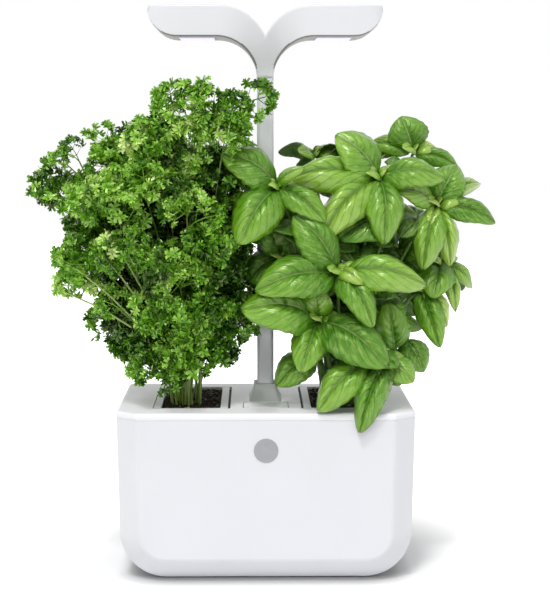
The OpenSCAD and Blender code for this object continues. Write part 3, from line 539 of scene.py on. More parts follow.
def append_copy(form, shape, place, tint=None):
    """Adds a copy of a small mesh to a form, moved into its place, and tinted."""
    copy = shape.copy()
    copy.transform(place)
    if tint is not None:
        shades = copy.attributes["tint"]
        values = [0.0] * len(shades.data)
        shades.data.foreach_get("value", values)
        shades.data.foreach_set("value", [v + tint for v in values])
    form.from_mesh(copy)
    bpy.data.meshes.remove(copy)


peat = loose_earth("peat", (0.008, 0.005, 0.003), (0.060, 0.036, 0.020), 0.95)
perlite = loose_earth("perlite", (0.42, 0.40, 0.35), (0.62, 0.60, 0.55), 0.9)

crumb_form = bmesh.new()
bmesh.ops.create_icosphere(crumb_form, subdivisions=1, radius=1)
chance = random.Random(11)
for v in crumb_form.verts:
    v.co *= chance.uniform(0.7, 1.25)
crumb = finished_mesh("crumb", crumb_form)

for side, sign in (("left", -1), ("right", 1)):
    give(f"soil_block_{side}", peat)
    bed = bmesh.new()
    bmesh.ops.create_grid(bed, x_segments=22, y_segments=52, size=1)
    bmesh.ops.scale(bed, vec=(soil_half_width, soil_half_length, 1), verts=bed.verts)
    for v in bed.verts:
        v.co.z = (bed_lift + lump_height * noise.noise(v.co * lump_scale)
                  + grain_height * noise.noise(v.co * grain_scale))
    for v in draw_out(bed, open_edges(bed))[1]:
        v.co.z = bed_foot
    bmesh.ops.holes_fill(bed, edges=open_edges(bed), sides=0)
    face_out(bed)
    bmesh.ops.translate(bed, vec=(sign * pod_x, pod_y, soil_top_z), verts=bed.verts)
    grit = bmesh.new()
    for i in range(crumb_count):
        size = chance.uniform(*crumb_sizes) * mm
        spot = (sign * pod_x + chance.uniform(-1, 1) * (soil_half_width - crumb_inset),
                pod_y + chance.uniform(-1, 1) * (soil_half_length - crumb_inset),
                soil_top_z + bed_lift + size * 0.4)
        append_copy(grit if i % grit_every == 0 else bed, crumb, Matrix.Translation(spot)
                    @ Matrix.Rotation(chance.uniform(0, 6), 4, "Z")
                    @ Matrix.Diagonal((size, size * 0.8, size * 0.6, 1)))
    place_piece(f"soil_top_{side}", bed, [peat], f"pod_{side}", 80)
    place_piece(f"perlite_{side}", grit, [perlite], f"pod_{side}", 80)


# ---------- Mast and lamp housing ----------
# The mast is a flat extruded tube that slides in the well, with a foot plug on its lower end. The
# light's two arms are one thin moulded shell that curves out of the mast to both sides, white
# outside. The shell's faces that look down are painted grey as painted shade under the arms.
mast_half_width = 6.3 * mm
mast_depth = 20 * mm
neck_z = 369 * mm
arm_under_z = 399 * mm
arm_top_z = 422.4 * mm
arm_depth = 60 * mm
tip_depth = 40 * mm
straight_x = 66 * mm
tip_length = 22 * mm
elbow_radius = arm_under_z - neck_z
elbow_x = mast_half_width + elbow_radius
fork_radius = 38.5 * mm
fork_x = fork_radius - 3.5 * mm
fork_z = arm_top_z - fork_radius
fork_share = 0.25
arm_edge_radius = 1.6 * mm
arm_wall = 2.2 * mm
window_span = (37.8 * mm, 64.2 * mm)
window_half_depth = 21.2 * mm
elbow_rings, tip_rings = 20, 8
seam_weld = 1e-5

arm_abs = moulded_plastic("arm_abs", (0.80, 0.805, 0.835), 0.33)
softened("mast", "mast_tube", arm_abs, 0.3 * mm)
give("mast_foot", dark_acetal)
give("lamp_lead", lead_pvc)


def elbow_section(t):
    """Lower point, upper point and depth of the right arm at a share of its elbow."""
    low = Vector((elbow_x - elbow_radius * cos(pi / 2 * t), 0,
                  neck_z + elbow_radius * sin(pi / 2 * t)))
    if t < fork_share:
        high = Vector((-mast_half_width, 0, neck_z)).lerp(
            Vector((fork_x - fork_radius, 0, fork_z)), t / fork_share)
    else:
        turn = pi / 2 * (t - fork_share) / (1 - fork_share)
        high = Vector((fork_x - fork_radius * cos(turn), 0, fork_z + fork_radius * sin(turn)))
    return low, high, mast_depth + (arm_depth - mast_depth) * t * t * (3 - 2 * t)


def tip_section(turn):
    """The same where the arm thins out to its tip."""
    low = Vector((straight_x + tip_length * sin(turn), 0,
                  arm_top_z - (arm_top_z - arm_under_z) * cos(turn)))
    high = Vector((straight_x + (tip_length - mm) * sin(turn), 0, arm_top_z))
    return low, high, arm_depth + (tip_depth - arm_depth) * (1 - cos(turn))


arm = bmesh.new()
rings = []
sections = ([elbow_section(i / elbow_rings) for i in range(elbow_rings + 1)]
            + [tip_section(radians(10 * i)) for i in range(tip_rings + 1)])
for low, high, depth in sections:
    known = set(arm.edges)
    half = (high - low).length / 2
    across = (high - low).normalized()
    middle = (low + high) / 2
    ring_corners = [arm.verts.new(middle + across * half * su + Vector((0, depth / 2 * sv, 0)))
                    for su, sv in ((-1, -1), (1, -1), (1, 1), (-1, 1))]
    arm.faces.new(ring_corners)
    round_off(arm, ring_corners, min(arm_edge_radius, half * 0.8), 5, "VERTICES")
    rings.append([e for e in arm.edges if e not in known])
bmesh.ops.delete(arm, geom=arm.faces[:], context="FACES_ONLY")
for inner, outer in zip(rings, rings[1:]):
    bmesh.ops.bridge_loops(arm, edges=inner + outer)
bmesh.ops.contextual_create(arm, geom=rings[-1])
bmesh.ops.bisect_plane(arm, geom=whole(arm), dist=weld, plane_co=(0, 0, 0),
                       plane_no=(1, 0, 0), clear_inner=True)
face_out(arm)


def looks_down(face):
    """Tells the flat undersides from the rest."""
    return face.normal.z < -square_on


score(arm, looks_down, (((window_span[0], 0, 0), (1, 0, 0)), ((window_span[1], 0, 0), (1, 0, 0)),
                        ((0, window_half_depth, 0), (0, 1, 0)),
                        ((0, -window_half_depth, 0), (0, 1, 0))))
opening = [f for f in arm.faces if looks_down(f)
           and window_span[0] < f.calc_center_bounds().x < window_span[1]
           and abs(f.calc_center_bounds().y) < window_half_depth]
bmesh.ops.delete(arm, geom=opening, context="FACES")
bmesh.ops.mirror(arm, geom=whole(arm), axis="X", merge_dist=seam_weld)
bmesh.ops.remove_doubles(arm, verts=arm.verts, dist=seam_weld)
face_out(arm)
# The faces of the shell that look down get the grey finish: painted shade under the arms.
for face in arm.faces:
    face.material_index = int(face.normal.z < -0.4)
underside_shade_grey = moulded_plastic("underside_shade_grey", (0.30, 0.295, 0.28), 0.5, drift=0.06)
lamp_shell = place_piece("lamp_shell", arm, [arm_abs, underside_shade_grey], "lamp")
thicken(lamp_shell, arm_wall)
even_shading(lamp_shell)
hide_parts("lamp_housing")


# ---------- Light windows and LED boards ----------
# A milky lens is clipped into the underside of each arm below a board with twelve warm white LEDs,
# and an aluminium plate with fins behind the board carries the heat up to the shell.
window_pc = moulded_plastic("window_pc", (0.62, 0.57, 0.80), 0.3, finish={
    "Emission Color": (0.62, 0.55, 0.95, 1), "Emission Strength": 0.35})
board_white = moulded_plastic("board_white", (0.78, 0.79, 0.78), 0.35)
led_phosphor = moulded_plastic("led_phosphor", (0.85, 0.75, 0.25), 0.3, drift=0.1, finish={
    "Emission Color": (1, 0.85, 0.6, 1), "Emission Strength": 1.0})
aluminium = moulded_plastic("aluminium", (0.77, 0.78, 0.79), 0.35, drift=0.08,
                            finish={"Metallic": 1.0})
for side in ("left", "right"):
    softened(f"light_window_{side}", f"light_lens_{side}", window_pc, 0.3 * mm)
    give(f"led_board_{side}", board_white)
    give(f"led_emitters_{side}", led_phosphor)
    give(f"heat_spreader_{side}", aluminium)


# ---------- Parsley ----------
# A dense parsley fills the left pod. Pale juicy stems fan out of the soil, each ends in a few
# stalked fronds, and every frond carries about fifteen deeply cut, slightly curled leaflets.
parsley_shoots = (
    (-92, -10, 158), (-88, 5, 126), (-84, -20, 92), (-62, 5, 58), (-38, -10, 40),
    (-26, -46, 26), (-58, -22, 188), (-24, -50, 198), (4, -54, 224), (28, -54, 212), (30, -22, 172),
    (22, -30, 132), (26, -36, 94), (24, -32, 62), (12, -28, 40), (-62, -48, 148),
    (-34, -62, 166), (-2, -64, 152), (-72, -44, 112), (-42, -64, 112), (-8, -64, 102),
    (14, -58, 122), (-52, -52, 76), (-18, -62, 64), (8, -56, 66), (-26, -48, 42),
    (-4, -48, 36), (-60, 38, 150), (-24, 48, 172), (6, 44, 158), (-72, 32, 102),
    (-32, 54, 110), (12, 48, 100), (-44, 42, 66), (2, 42, 58), (-32, 0, 184),
    (0, 4, 178), (-34, -30, 192), (4, 0, 140))
long_sprig = ((34, -46, 224), (66, -44, 234))
# Patches of paler and of darker fronds, as x, height, reach and amount: paler for young yellow
# growth and as painted light, darker as painted shade.
tone_and_light_spots = (
    (-66, 318, 26, 0.16), (-51, 298, 22, 0.16), (-19, 250, 18, 0.12), (-110, 212, 11, 0.34),
    (-145, 218, 26, 0.12), (-100, 270, 22, 0.12), (-128, 318, 18, 0.24), (-60, 205, 16, 0.12),
    (-140, 290, 26, 0.14), (-71, 171, 42, -0.12), (-21, 350, 26, -0.15), (-55, 362, 26, -0.11),
    (-22, 220, 36, -0.13), (-118, 240, 26, -0.06))
growth_gaps = ((-122, -78, 178, 238, 0.35), (-80, -50, 250, 286, 0.3), (-32, -10, 205, 232, 0.4))
side_fronds = (
    ((-92, -10, 158), (-126, -12, 166), 1.0), ((-88, 5, 150), (-122, -2, 158), 0.95),
    ((-84, -15, 184), (-97, -17, 205), 0.62), ((-84, -15, 184), (-112, -17, 192), 0.62),
    ((-88, -8, 176), (-108, -12, 180), 0.8), ((-22, -40, 226), (8, -40, 236), 0.9),
    ((18, -34, 122), (44, -36, 116), 0.9), ((18, -32, 100), (44, -34, 98), 0.9),
    ((18, -32, 80), (42, -32, 78), 0.85), ((16, -38, 142), (44, -42, 140), 0.9))
stem_fan = (((-30, -46, 70), (-72, -56, 126)), ((-26, -50, 74), (-62, -60, 136)),
            ((-36, -46, 62), (-84, -50, 106)), ((-22, -52, 76), (-50, -62, 134)),
            ((-40, -48, 60), (-92, -46, 88)), ((-16, -54, 72), (-36, -64, 128)),
            ((-12, -56, 66), (-20, -66, 118)))
fan_root = (-60, 0, 130)
parsley_bed = (11.5 * mm, 28 * mm)
growth_bed = (14.5 * mm, 27 * mm)
stem_steps = 9
stem_spread = 60 * mm
frond_reach = 34 * mm
frond_turns = (0, 143, -120, 60, -55, 185, 25, 95, -30, 120, -90, 160)
frond_rises = (12, 38, 20, 48, 28, 10, 70, 15, 40, 5, 45, 30)
frond_arch, frond_nod = 0.22, 0.12
side_stalks = ((1, 66, 0.34), (2, 56, 0.28), (3, 62, 0.14))
frond_stalk = (1.3 * mm, 0.7 * mm, 4)
leaflet_stalk = (0.8 * mm, 0.5 * mm, 3)
frond_scales = (0.74, 1.06)
frond_tint = 0.52
rear_from, middle_from = -0.1 * mm, -45 * mm
high_from, front_from = 150 * mm, 90 * mm
shoot_girth = 0.9 * mm
inner_fronds = 175
inner_from_z = 42 * mm
inner_scales = (0.85, 1.1)
inner_shade_tint = 0.12
leaflet_outline = ((0.05, 0.0), (0.13, 0.22), (0.50, 0.19), (0.48, 0.37), (0.15, 0.46),
                   (0.55, 0.60), (0.43, 0.76), (0.12, 0.66), (0.25, 0.90), (0.08, 0.86))
leaflet_length = 10.2 * mm
leaf_sheet = 0.3 * mm
edge_paleness, even_from_middle = 0.56, 0.37
arm_clear_x, arm_clear_y, arm_clear_z = 98 * mm, 40 * mm, 328 * mm
front_until, spots_until, gaps_until = 20 * mm, 10 * mm, -22 * mm
shade_from, shade_depth = -50 * mm, 40 * mm
rear_shade, front_shade = 0.06, 0.15
leaf_gloss_tint = (0.80, 1.0, 0.40, 1)


def figure(tree, operation, *values):
    """One step of arithmetic on numbers and node sockets."""
    return add_node(tree, "Math", dict(enumerate(values)), operation=operation).outputs["Value"]


def leaf_tissue(name, shades, through, gloss, vein_scale, vein_depth, through_share,
                waxy=False):
    """Leaf skin: a shade picked by the tint of each leaf, mottled, veined, and lit through. Waxy
    leaves shine, most where their tint, painted light and shade included, is lightest."""
    material, tree, shader, place = blank_material(name)
    mottle = figure(tree, "MULTIPLY_ADD", clouds(tree, place, 160, 3), 0.3, -0.15)
    tint = add_node(tree, "Attribute", attribute_name="tint").outputs["Fac"]
    picked = figure(tree, "ADD", tint, mottle)
    wire(tree, shader, {"Roughness": gloss, "Specular IOR Level": 0.4,
                        "Base Color": shade_row(tree, picked, shades)})
    if waxy:
        wire(tree, shader, {"Specular IOR Level": 1.0, "Specular Tint": leaf_gloss_tint,
                            "Coat Roughness": 0.22,
                            "Coat Weight": stretched(tree, picked, (0.05, 1.0), (0.32, 0.72))})
    emboss(tree, shader, clouds(tree, place, vein_scale, 2), 0.6, vein_depth)
    passed = add_node(tree, "BsdfTranslucent", {"Color": (*through, 1)})
    sheet = add_node(tree, "MixShader", {"Fac": through_share, 1: shader.outputs["BSDF"],
                                         2: passed.outputs["BSDF"]})
    wire(tree, tree.nodes["Material Output"], {"Surface": sheet.outputs["Shader"]})
    return material


def stalk(form, points, thick, thin, sides=6, tint=0.0):
    """A round stalk that follows its points and grows thinner towards its end."""
    own = bmesh.new()
    last = len(points) - 1
    places = []
    for i, p in enumerate(points):
        way = points[min(i + 1, last)] - points[max(i - 1, 0)]
        girth = thick + (thin - thick) * i / last
        places.append(Matrix.Translation(p) @ way.to_track_quat("Z", "Y").to_matrix().to_4x4()
                      @ Matrix.Diagonal((girth / 2, girth / 2, girth / 2, 1)))
    bmesh.ops.create_circle(own, segments=sides, radius=1, matrix=places[0], cap_ends=True)
    ring = own.edges[:]
    for before, now in zip(places, places[1:]):
        ring, rim = draw_out(own, ring)
        bmesh.ops.transform(own, matrix=now @ before.inverted(), verts=rim)
    bmesh.ops.contextual_create(own, geom=ring)
    face_out(own)
    shades = own.verts.layers.float.new("tint")
    for v in own.verts:
        v[shades] = tint
    mesh = finished_mesh("stalk", own)
    form.from_mesh(mesh)
    bpy.data.meshes.remove(mesh)


def heading(turn, rise):
    """The way that a shoot grows: round from the right, and up."""
    return Vector((cos(turn) * cos(rise), sin(turn) * cos(rise), sin(rise)))


def aim(base, way, facing, scale=1):
    """Places a shape that grows along +Y with its face to +Z: along a way, with its face turned."""
    ahead = way.normalized()
    sideways = ahead.cross(facing)
    if sideways.length < 0.15:
        sideways = ahead.orthogonal()
    sideways.normalize()
    up = sideways.cross(ahead)
    turned = Matrix((sideways, ahead, up)).transposed().to_4x4()
    return Matrix.Translation(base) @ turned @ Matrix.Scale(scale, 4)


def stem_path(shoot, bed):
    """The bent way of a stem from its foot in the soil to its shoot."""
    foot = Vector((*[max(-1, min(1, shoot[i] / stem_spread)) * bed[i] for i in (0, 1)], 0))
    middle = foot.lerp(shoot, 0.35)
    middle.z = shoot.z * 0.55
    bend = 2 * middle - (foot + shoot) / 2
    return [foot.lerp(bend, t).lerp(bend.lerp(shoot, t), t)
            for t in [i / stem_steps for i in range(stem_steps + 1)]]


def leaflet(fold, droop, curl):
    """One cut leaflet of parsley of unit length, folded along its middle and curled at its lobes,
    as a thin closed sheet that runs out at its edge."""
    form = bmesh.new()
    edge = [*leaflet_outline, (0, 1.0), *[(-x, y) for x, y in reversed(leaflet_outline)]]
    blade = form.faces.new([form.verts.new((x, y, 0)) for x, y in edge])
    bmesh.ops.poke(form, faces=[blade])
    form.verts.ensure_lookup_table()
    shades = form.verts.layers.float.new("tint")
    # Each leaflet is painted paler towards its lobes' tips and darker at its middle: painted light
    # on the tips and painted shade between the lobes.
    for i, v in enumerate(form.verts):
        out = Vector((v.co.x, v.co.y - 0.5)).length
        v[shades] = edge_paleness * (out - even_from_middle)
        v.co.z = (fold * abs(v.co.x) - droop * v.co.y ** 2 + curl * out ** 2
                  + 0.10 * sin(2.4 * i + 9 * droop) * (out > 0.2))
    middle = max(form.verts, key=lambda v: len(v.link_edges))
    under = bmesh.ops.duplicate(form, geom=whole(form))
    bmesh.ops.reverse_faces(form, faces=[g for g in under["geom"]
                                         if isinstance(g, bmesh.types.BMFace)])
    bmesh.ops.translate(form, vec=(0, 0, -leaf_sheet / leaflet_length),
                        verts=[under["vert_map"][middle]])
    bmesh.ops.remove_doubles(form, verts=form.verts, dist=1e-4)
    return finished_mesh("leaflet", form)


def frond(variant):
    """A parsley frond: a stalk with three leaflets at its end and on each of its side stalks."""
    luck = random.Random(variant)
    shapes = [leaflet(luck.uniform(-0.1, 0.6), luck.uniform(0.0, 0.6), luck.uniform(-0.9, 0.7))
              for _ in range(4)]
    form = bmesh.new()
    form.verts.layers.float.new("tint")
    spine = [Vector((0, frond_reach * t,
                     frond_reach * frond_arch * t * (1 - t) * 4 - frond_reach * frond_nod * t * t))
             for t in (0, 0.25, 0.5, 0.72)]
    stalk(form, spine, *frond_stalk)
    ends = [(spine[-1], 0.0, 0.0, leaflet_length)]
    for at, spread, length in side_stalks:
        for hand in (-1, 1):
            turn = radians(hand * (spread + luck.uniform(-10, 10)))
            way = Vector((sin(turn), cos(turn), luck.uniform(-0.1, 0.5)))
            end = spine[at] + way * frond_reach * length
            stalk(form, [spine[at], end], *leaflet_stalk)
            ends.append((end, turn, luck.uniform(-0.7, 0.7), leaflet_length * (1 - 0.06 * at)))
    for end, turn, roll, size in ends:
        for part in (-1, 0, 1):
            bearing = -turn - radians(part * 62 + luck.uniform(-12, 12))
            place = (Matrix.Translation(end) @ Matrix.Rotation(bearing, 4, "Z")
                     @ Matrix.Rotation(roll + luck.uniform(-0.7, 0.7), 4, "Y")
                     @ Matrix.Rotation(luck.uniform(-0.6, 0.7), 4, "X")
                     @ Matrix.Scale(size * (1 if part == 0 else 0.88) * luck.uniform(0.9, 1.12), 4))
            append_copy(form, luck.choice(shapes), place, luck.gauss(0, 0.13))
    return finished_mesh("frond", form)


parsley_skin = leaf_tissue("parsley_skin", (
    (0.0, (0.005, 0.032, 0.001)), (0.20, (0.024, 0.118, 0.003)), (0.40, (0.115, 0.340, 0.010)),
    (0.60, (0.270, 0.590, 0.034)), (0.80, (0.540, 0.850, 0.140)), (1.0, (0.780, 0.950, 0.340))),
    (0.32, 0.56, 0.02), 0.32, 900, 0.25 * mm, 0.14, waxy=True)
parsley_stalk = leaf_tissue("parsley_stalk", (
    (0.0, (0.110, 0.210, 0.024)), (0.5, (0.310, 0.460, 0.080)), (1.0, (0.560, 0.680, 0.230))),
    (0.40, 0.55, 0.08), 0.36, 300, 0.1 * mm, 0.12)

cut_fronds = [frond(variant) for variant in range(9)]
parsley_home = Vector((-pod_x, pod_y, soil_top_z))
parsley_leaves = {"high": bmesh.new(), "front": bmesh.new(), "low": bmesh.new(),
                  "middle": bmesh.new(), "inner": bmesh.new(), "rear": bmesh.new()}
parsley_stems = bmesh.new()
for form in (parsley_stems, *parsley_leaves.values()):
    form.verts.layers.float.new("tint")
chance = random.Random(5)


def parsley_stalk_through(points, thick, thin, sides=6, tint=0.0):
    """Lays a parsley stalk through points that count from the middle of the pod's soil."""
    stalk(parsley_stems, [p + parsley_home for p in points], thick, thin, sides, tint)


def add_frond(part, base, way, tint, scale):
    """Sets a frond on a shoot, with its face turned up, outwards and to the light. It grows past
    the lamp's arms, and the gaps through which the stems show stay clear of it."""
    at_rear = base.y >= front_until
    spot = base + parsley_home
    for _ in range(2):
        end = spot + way.normalized() * frond_reach * scale
        under_arm = end.z > arm_clear_z and abs(end.x) < arm_clear_x and abs(end.y) < arm_clear_y
        if under_arm:
            aside = abs(way.y) + 0.6 * way.length
            way = Vector((way.x, aside if at_rear else -aside, way.z))
    if under_arm:
        return
    facing = Vector((way.normalized().x * 0.2 + chance.uniform(-0.6, 0.6),
                     (0.55 if at_rear else -0.75) + chance.uniform(-0.6, 0.6),
                     0.55 + chance.uniform(-0.4, 0.6)))
    tip = spot + way.normalized() * frond_reach * scale * 0.6
    for x_from, x_to, z_from, z_to, kept in growth_gaps:
        if (tip.y < gaps_until and x_from < tip.x / mm < x_to and z_from < tip.z / mm < z_to
                and chance.random() > kept):
            return
    # Fronds in front take on the patches' tints: young growth, painted light and painted shade.
    if base.y < spots_until:
        for x, z, radius, amount in tone_and_light_spots:
            near = 1 - Vector((spot.x / mm - x, spot.z / mm - z)).length / radius
            tint += amount * max(0, min(1, 2 * near))
    # Fronds further back in the bush are painted darker: painted shade that grows with how far back
    # they stand, less on the rear side.
    depth = min(1, max(0, (base.y - shade_from) / shade_depth))
    tint -= (rear_shade if at_rear else front_shade) * depth
    append_copy(parsley_leaves[part], chance.choice(cut_fronds),
                aim(spot, way, facing, scale), tint)


for shoot in parsley_shoots:
    top = Vector(shoot) * mm
    path = stem_path(top, parsley_bed)
    astray = Vector((chance.uniform(-4, 4), chance.uniform(-5, 5), 0)) * mm
    path = [p + astray * (1 - i / stem_steps) ** 2 for i, p in enumerate(path)]
    parsley_stalk_through(path, chance.uniform(1.1, 1.8) * mm, shoot_girth,
                          tint=chance.uniform(0.0, 1.0))
    if top.y > rear_from:
        part = "rear"
    elif top.y > middle_from:
        part = "middle"
    else:
        part = "high" if top.z > high_from else "front" if top.z > front_from else "low"
    for turn, rise in zip(frond_turns, frond_rises):
        way = heading(atan2(top.y, top.x) + radians(turn + chance.uniform(-18, 18)),
                      radians(rise + chance.uniform(-14, 12)))
        start = path[-1].lerp(path[-2], chance.uniform(0, 1.2))
        add_frond(part, start, way, frond_tint + chance.gauss(0, 0.15),
                  chance.uniform(*frond_scales))
# Fronds inside the bush are painted dark: painted shade.
for _ in range(inner_fronds):
    one, other = (stem_path(Vector(chance.choice(parsley_shoots)) * mm, growth_bed) for _ in (0, 1))
    at = chance.choice((5, 6, 7, 8, 9))
    start = one[at].lerp(other[at], chance.uniform(0.25, 0.75))
    if start.z >= inner_from_z:
        way = heading(chance.uniform(0, 2 * pi), chance.uniform(-0.2, 0.9))
        add_frond("inner", start, way, inner_shade_tint + chance.gauss(0, 0.05),
                  chance.uniform(*inner_scales))
for base, tip, scale in side_fronds:
    base, tip = Vector(base) * mm, Vector(tip) * mm
    parsley_stalk_through((base.lerp(Vector(fan_root) * mm, 0.35), base), 1.3 * mm, 1.0 * mm, 5)
    add_frond("front", base, tip - base, 0.30 if tip.z > 190 * mm else 0.46, scale)
for base, tip in stem_fan:
    base, tip = Vector(base) * mm, Vector(tip) * mm
    sag = base.lerp(tip, 0.5) + Vector((0, 0, 2.5 * mm))
    parsley_stalk_through((base, sag, tip), 1.7 * mm, 1.1 * mm, tint=0.8)
sprig_root, sprig_from, sprig_to = (Vector(p) * mm for p in (parsley_shoots[9], *long_sprig))
parsley_stalk_through((sprig_root, sprig_from), 1.4 * mm, 1.2 * mm, 5)
add_frond("front", sprig_from, sprig_to - sprig_from, 0.5, 0.98)


def duck(piece):
    """Gives a part of a plant its own copy of its mesh."""
    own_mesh(piece)


for part, form in parsley_leaves.items():
    foliage = place_piece(f"parsley_{part}", form, [parsley_skin], "pod_left", 50)
    duck(foliage)
    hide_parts("parsley_plant")
duck(place_piece("parsley_stems", parsley_stems, [parsley_stalk], "pod_left", 60))


# ---------- Basil ----------
# A sweet basil fills the right pod. Its soft square stems carry crossed pairs of large glossy
# leaves, puffed up between their side veins, and a rosette of small fresh leaves at each shoot.
basil_shoots = (
    ((-47, -46, 165), (-34, -12, 25, 28), (-27, -25, -34, 30), (31, -18, -20, 20),
     (16, -12, 15, 10)),
    ((29, -30, 172), (-28, -6, 30, 31), (-42, -28, -38, 27), (4, -30, -39, 26), (42, -10, 2, 24),
     (-64, -10, 3, 27), (13, 10, 7, 10)),
    ((58, 10, 190), (-8, -6, 25, 27), (31, -5, -9, 15), (-31, 5, 8, 16)),
    ((73, -20, 151), (15, 5, 28, 24), (40, -5, -10, 19), (-29, -15, 14, 19), (-8, -20, -18, 12),
     (-12, -25, -39, 22), (10, -15, -38, 17), (33, 24, 16, 12)),
    ((38, -25, 140), (-36, -25, -7, 34)),
    ((-3, -60, 102), (-26, -6, 41, 28), (-54, -18, -5, 32), (56, -16, -3, 27), (22, -26, -29, 21),
     (15, -20, -2, 12)),
    ((-17, -56, 68), (-49, -20, 13, 35), (-12, -24, -30, 23), (-3, -10, 23, 20),
     (43, -28, -27, 33)),
    ((41, -40, 42), (-6, -10, 34, 23)),
    ((77, -10, 108), (-7, -25, -21, 24), (11, -10, -33, 12), (24, 0, -17, 13)),
    ((62, -15, 88), (10, -25, -36, 18), (19, -10, -23, 17)),
    ((49, -30, 51), (12, -10, -20, 20)),
    ((33, -60, 38), (-20, -26, -41, 20), (17, -10, -11, 19), (-4, -6, 9, 10)),
    ((21, -62, 37), (-36, -20, -26, 25)),
    ((-19, -40, 40), (-27, -12, -16, 23)),
    ((4, 36, 156), (-26, 10, 12, 26), (22, 20, 14, 30), (8, 28, -22, 26), (-14, -16, 16, 20)),
    ((42, 42, 132), (34, 10, 6, 28), (-10, 28, -20, 32), (-30, 14, 8, 24), (14, -22, 18, 22)),
    ((-14, 38, 104), (-16, 24, 10, 28), (22, 26, -18, 30), (-12, -14, 20, 20)),
    ((30, 48, 78), (32, 12, -14, 30), (-18, 26, -22, 30), (-28, -10, 10, 22)),
    ((74, 32, 96), (26, 16, -12, 26), (-6, 26, -24, 24), (6, -18, 20, 20)),
    ((6, 40, 44), (-20, 18, -12, 26), (20, 24, -16, 26)),
    ((8, -4, 120), (-18, 14, 22, 24), (24, 16, 20, 26), (10, -30, 18, 24)),
    ((-18, 30, 186), (-24, 4, 6, 20), (24, -2, 4, 22), (-6, -8, -22, 20), (6, 2, 8, 12)),
    ((24, 26, 186), (-30, 4, 3, 20), (22, -4, 7, 18), (-2, -10, -20, 22)),
    ((-20, -14, 128), (-46, -14, 4, 26), (-8, -16, 26, 26), (26, -6, 14, 26), (-24, -14, -22, 24)),
    ((22, -2, 138), (-24, -12, 14, 26), (6, -16, 26, 26), (34, -2, 6, 26), (10, -14, -26, 26)),
    ((46, -2, 112), (-22, -12, 12, 24), (24, -12, 18, 26), (22, -10, -18, 24), (-16, -12, -24, 24)),
    ((-24, -22, 86), (-26, -8, 10, 24), (-10, -12, 24, 22), (24, -10, 10, 24)),
    ((-42, -24, 146), (-26, -8, -12, 24), (6, -8, -30, 24), (-6, -6, 22, 22), (26, -4, -10, 24)),
    ((-44, -26, 112), (-24, -8, -14, 24), (4, -8, -30, 24), (-8, -8, 24, 22), (24, -6, -8, 24)),
    ((-36, -24, 84), (-24, -6, -8, 22), (2, -8, -26, 22), (22, -6, 10, 22)),
    ((20, -20, 62), (-24, -12, 14, 24), (26, -10, 12, 26), (4, -12, -26, 24)))
shaded_from = 14
vein_pairs = 5
vein_lean = 0.46
filler_count = 120
filler_width = 0.62
filler_shade_tint = 0.14
leaf_thickness = 0.45 * mm
leaf_swell = (1.2, 1.04, 0.85)
leaf_stalk = (1.9 * mm, 1.3 * mm)
stalk_share = 0.06
stalk_round, tip_round, widest = 0.50, 0.60, 0.469
midrib_green = (0.40, 0.58, 0.16)
small_until = 14
young_until = 18
young_paleness = 0.25
leaf_tint = 0.43
behind_y = 20 * mm
behind_shade, under_shade = 0.10, 0.24
rosette_leaves = 6
rosette_tint = 0.74
rosette_width = 0.85
basil_girths = (4.2 * mm, 2.2 * mm)


def basil_leaf(variant, across, along):
    """A basil leaf of unit length and half-width, with puffed halves, sunken veins and a drooping
    tip."""
    luck = random.Random(variant)
    bow, cup, tip = luck.uniform(0.14, 0.26), luck.uniform(0.08, 0.34), luck.uniform(0.12, 0.40)
    sway = luck.uniform(-0.05, 0.05)
    form = bmesh.new()
    pattern = form.loops.layers.uv.new("UVMap")
    shades = form.verts.layers.float.new("tint")
    bmesh.ops.create_grid(form, x_segments=across, y_segments=along, size=0.5)
    for face in form.faces:
        for loop in face.loops:
            loop[pattern].uv = (loop.vert.co.x + 0.5, loop.vert.co.y + 0.5)
    for v in form.verts:
        u, t = 2 * v.co.x, v.co.y + 0.5
        breadth = (t + 0.004) ** stalk_round * (1.004 - t) ** tip_round / widest
        side_vein = (t - vein_lean * abs(u) ** 1.2) * (vein_pairs + 1)
        puff = (0.5 - 0.5 * cos(2 * pi * side_vein)) * min(1, 5 * abs(u)) * (1 - u * u)
        wave = 0.03 * sin(9 * t + 3 * u + variant) * abs(u)
        v.co.x = u * 0.5 * breadth * (1 + 0.02 * sin(38 * t)) + sway * t * t
        v.co.y = t + 0.07 * t ** 9
        v.co.z = (bow * 4 * t * (1 - t) + 0.10 * breadth * sin(pi * min(1, abs(u) * 1.05))
                  + 0.022 * puff * breadth - cup * 0.5 * u * u * breadth + wave
                  - tip * max(0, t - 0.6) ** 2 * 3)
        # Each leaf is painted lighter on its puffs as painted light, and darker towards its base
        # and its middle.
        v[shades] = 0.06 * puff + 0.26 * (t - 0.55) + 0.10 * (u * u - 0.4)
    return finished_mesh("basil_leaf", form)


def mixed(tree, under, over, share):
    """Mixes one colour over another by a share."""
    return add_node(tree, "Mix", {"A": under, "B": over, "Factor": share},
                    data_type="RGBA").outputs["Result"]


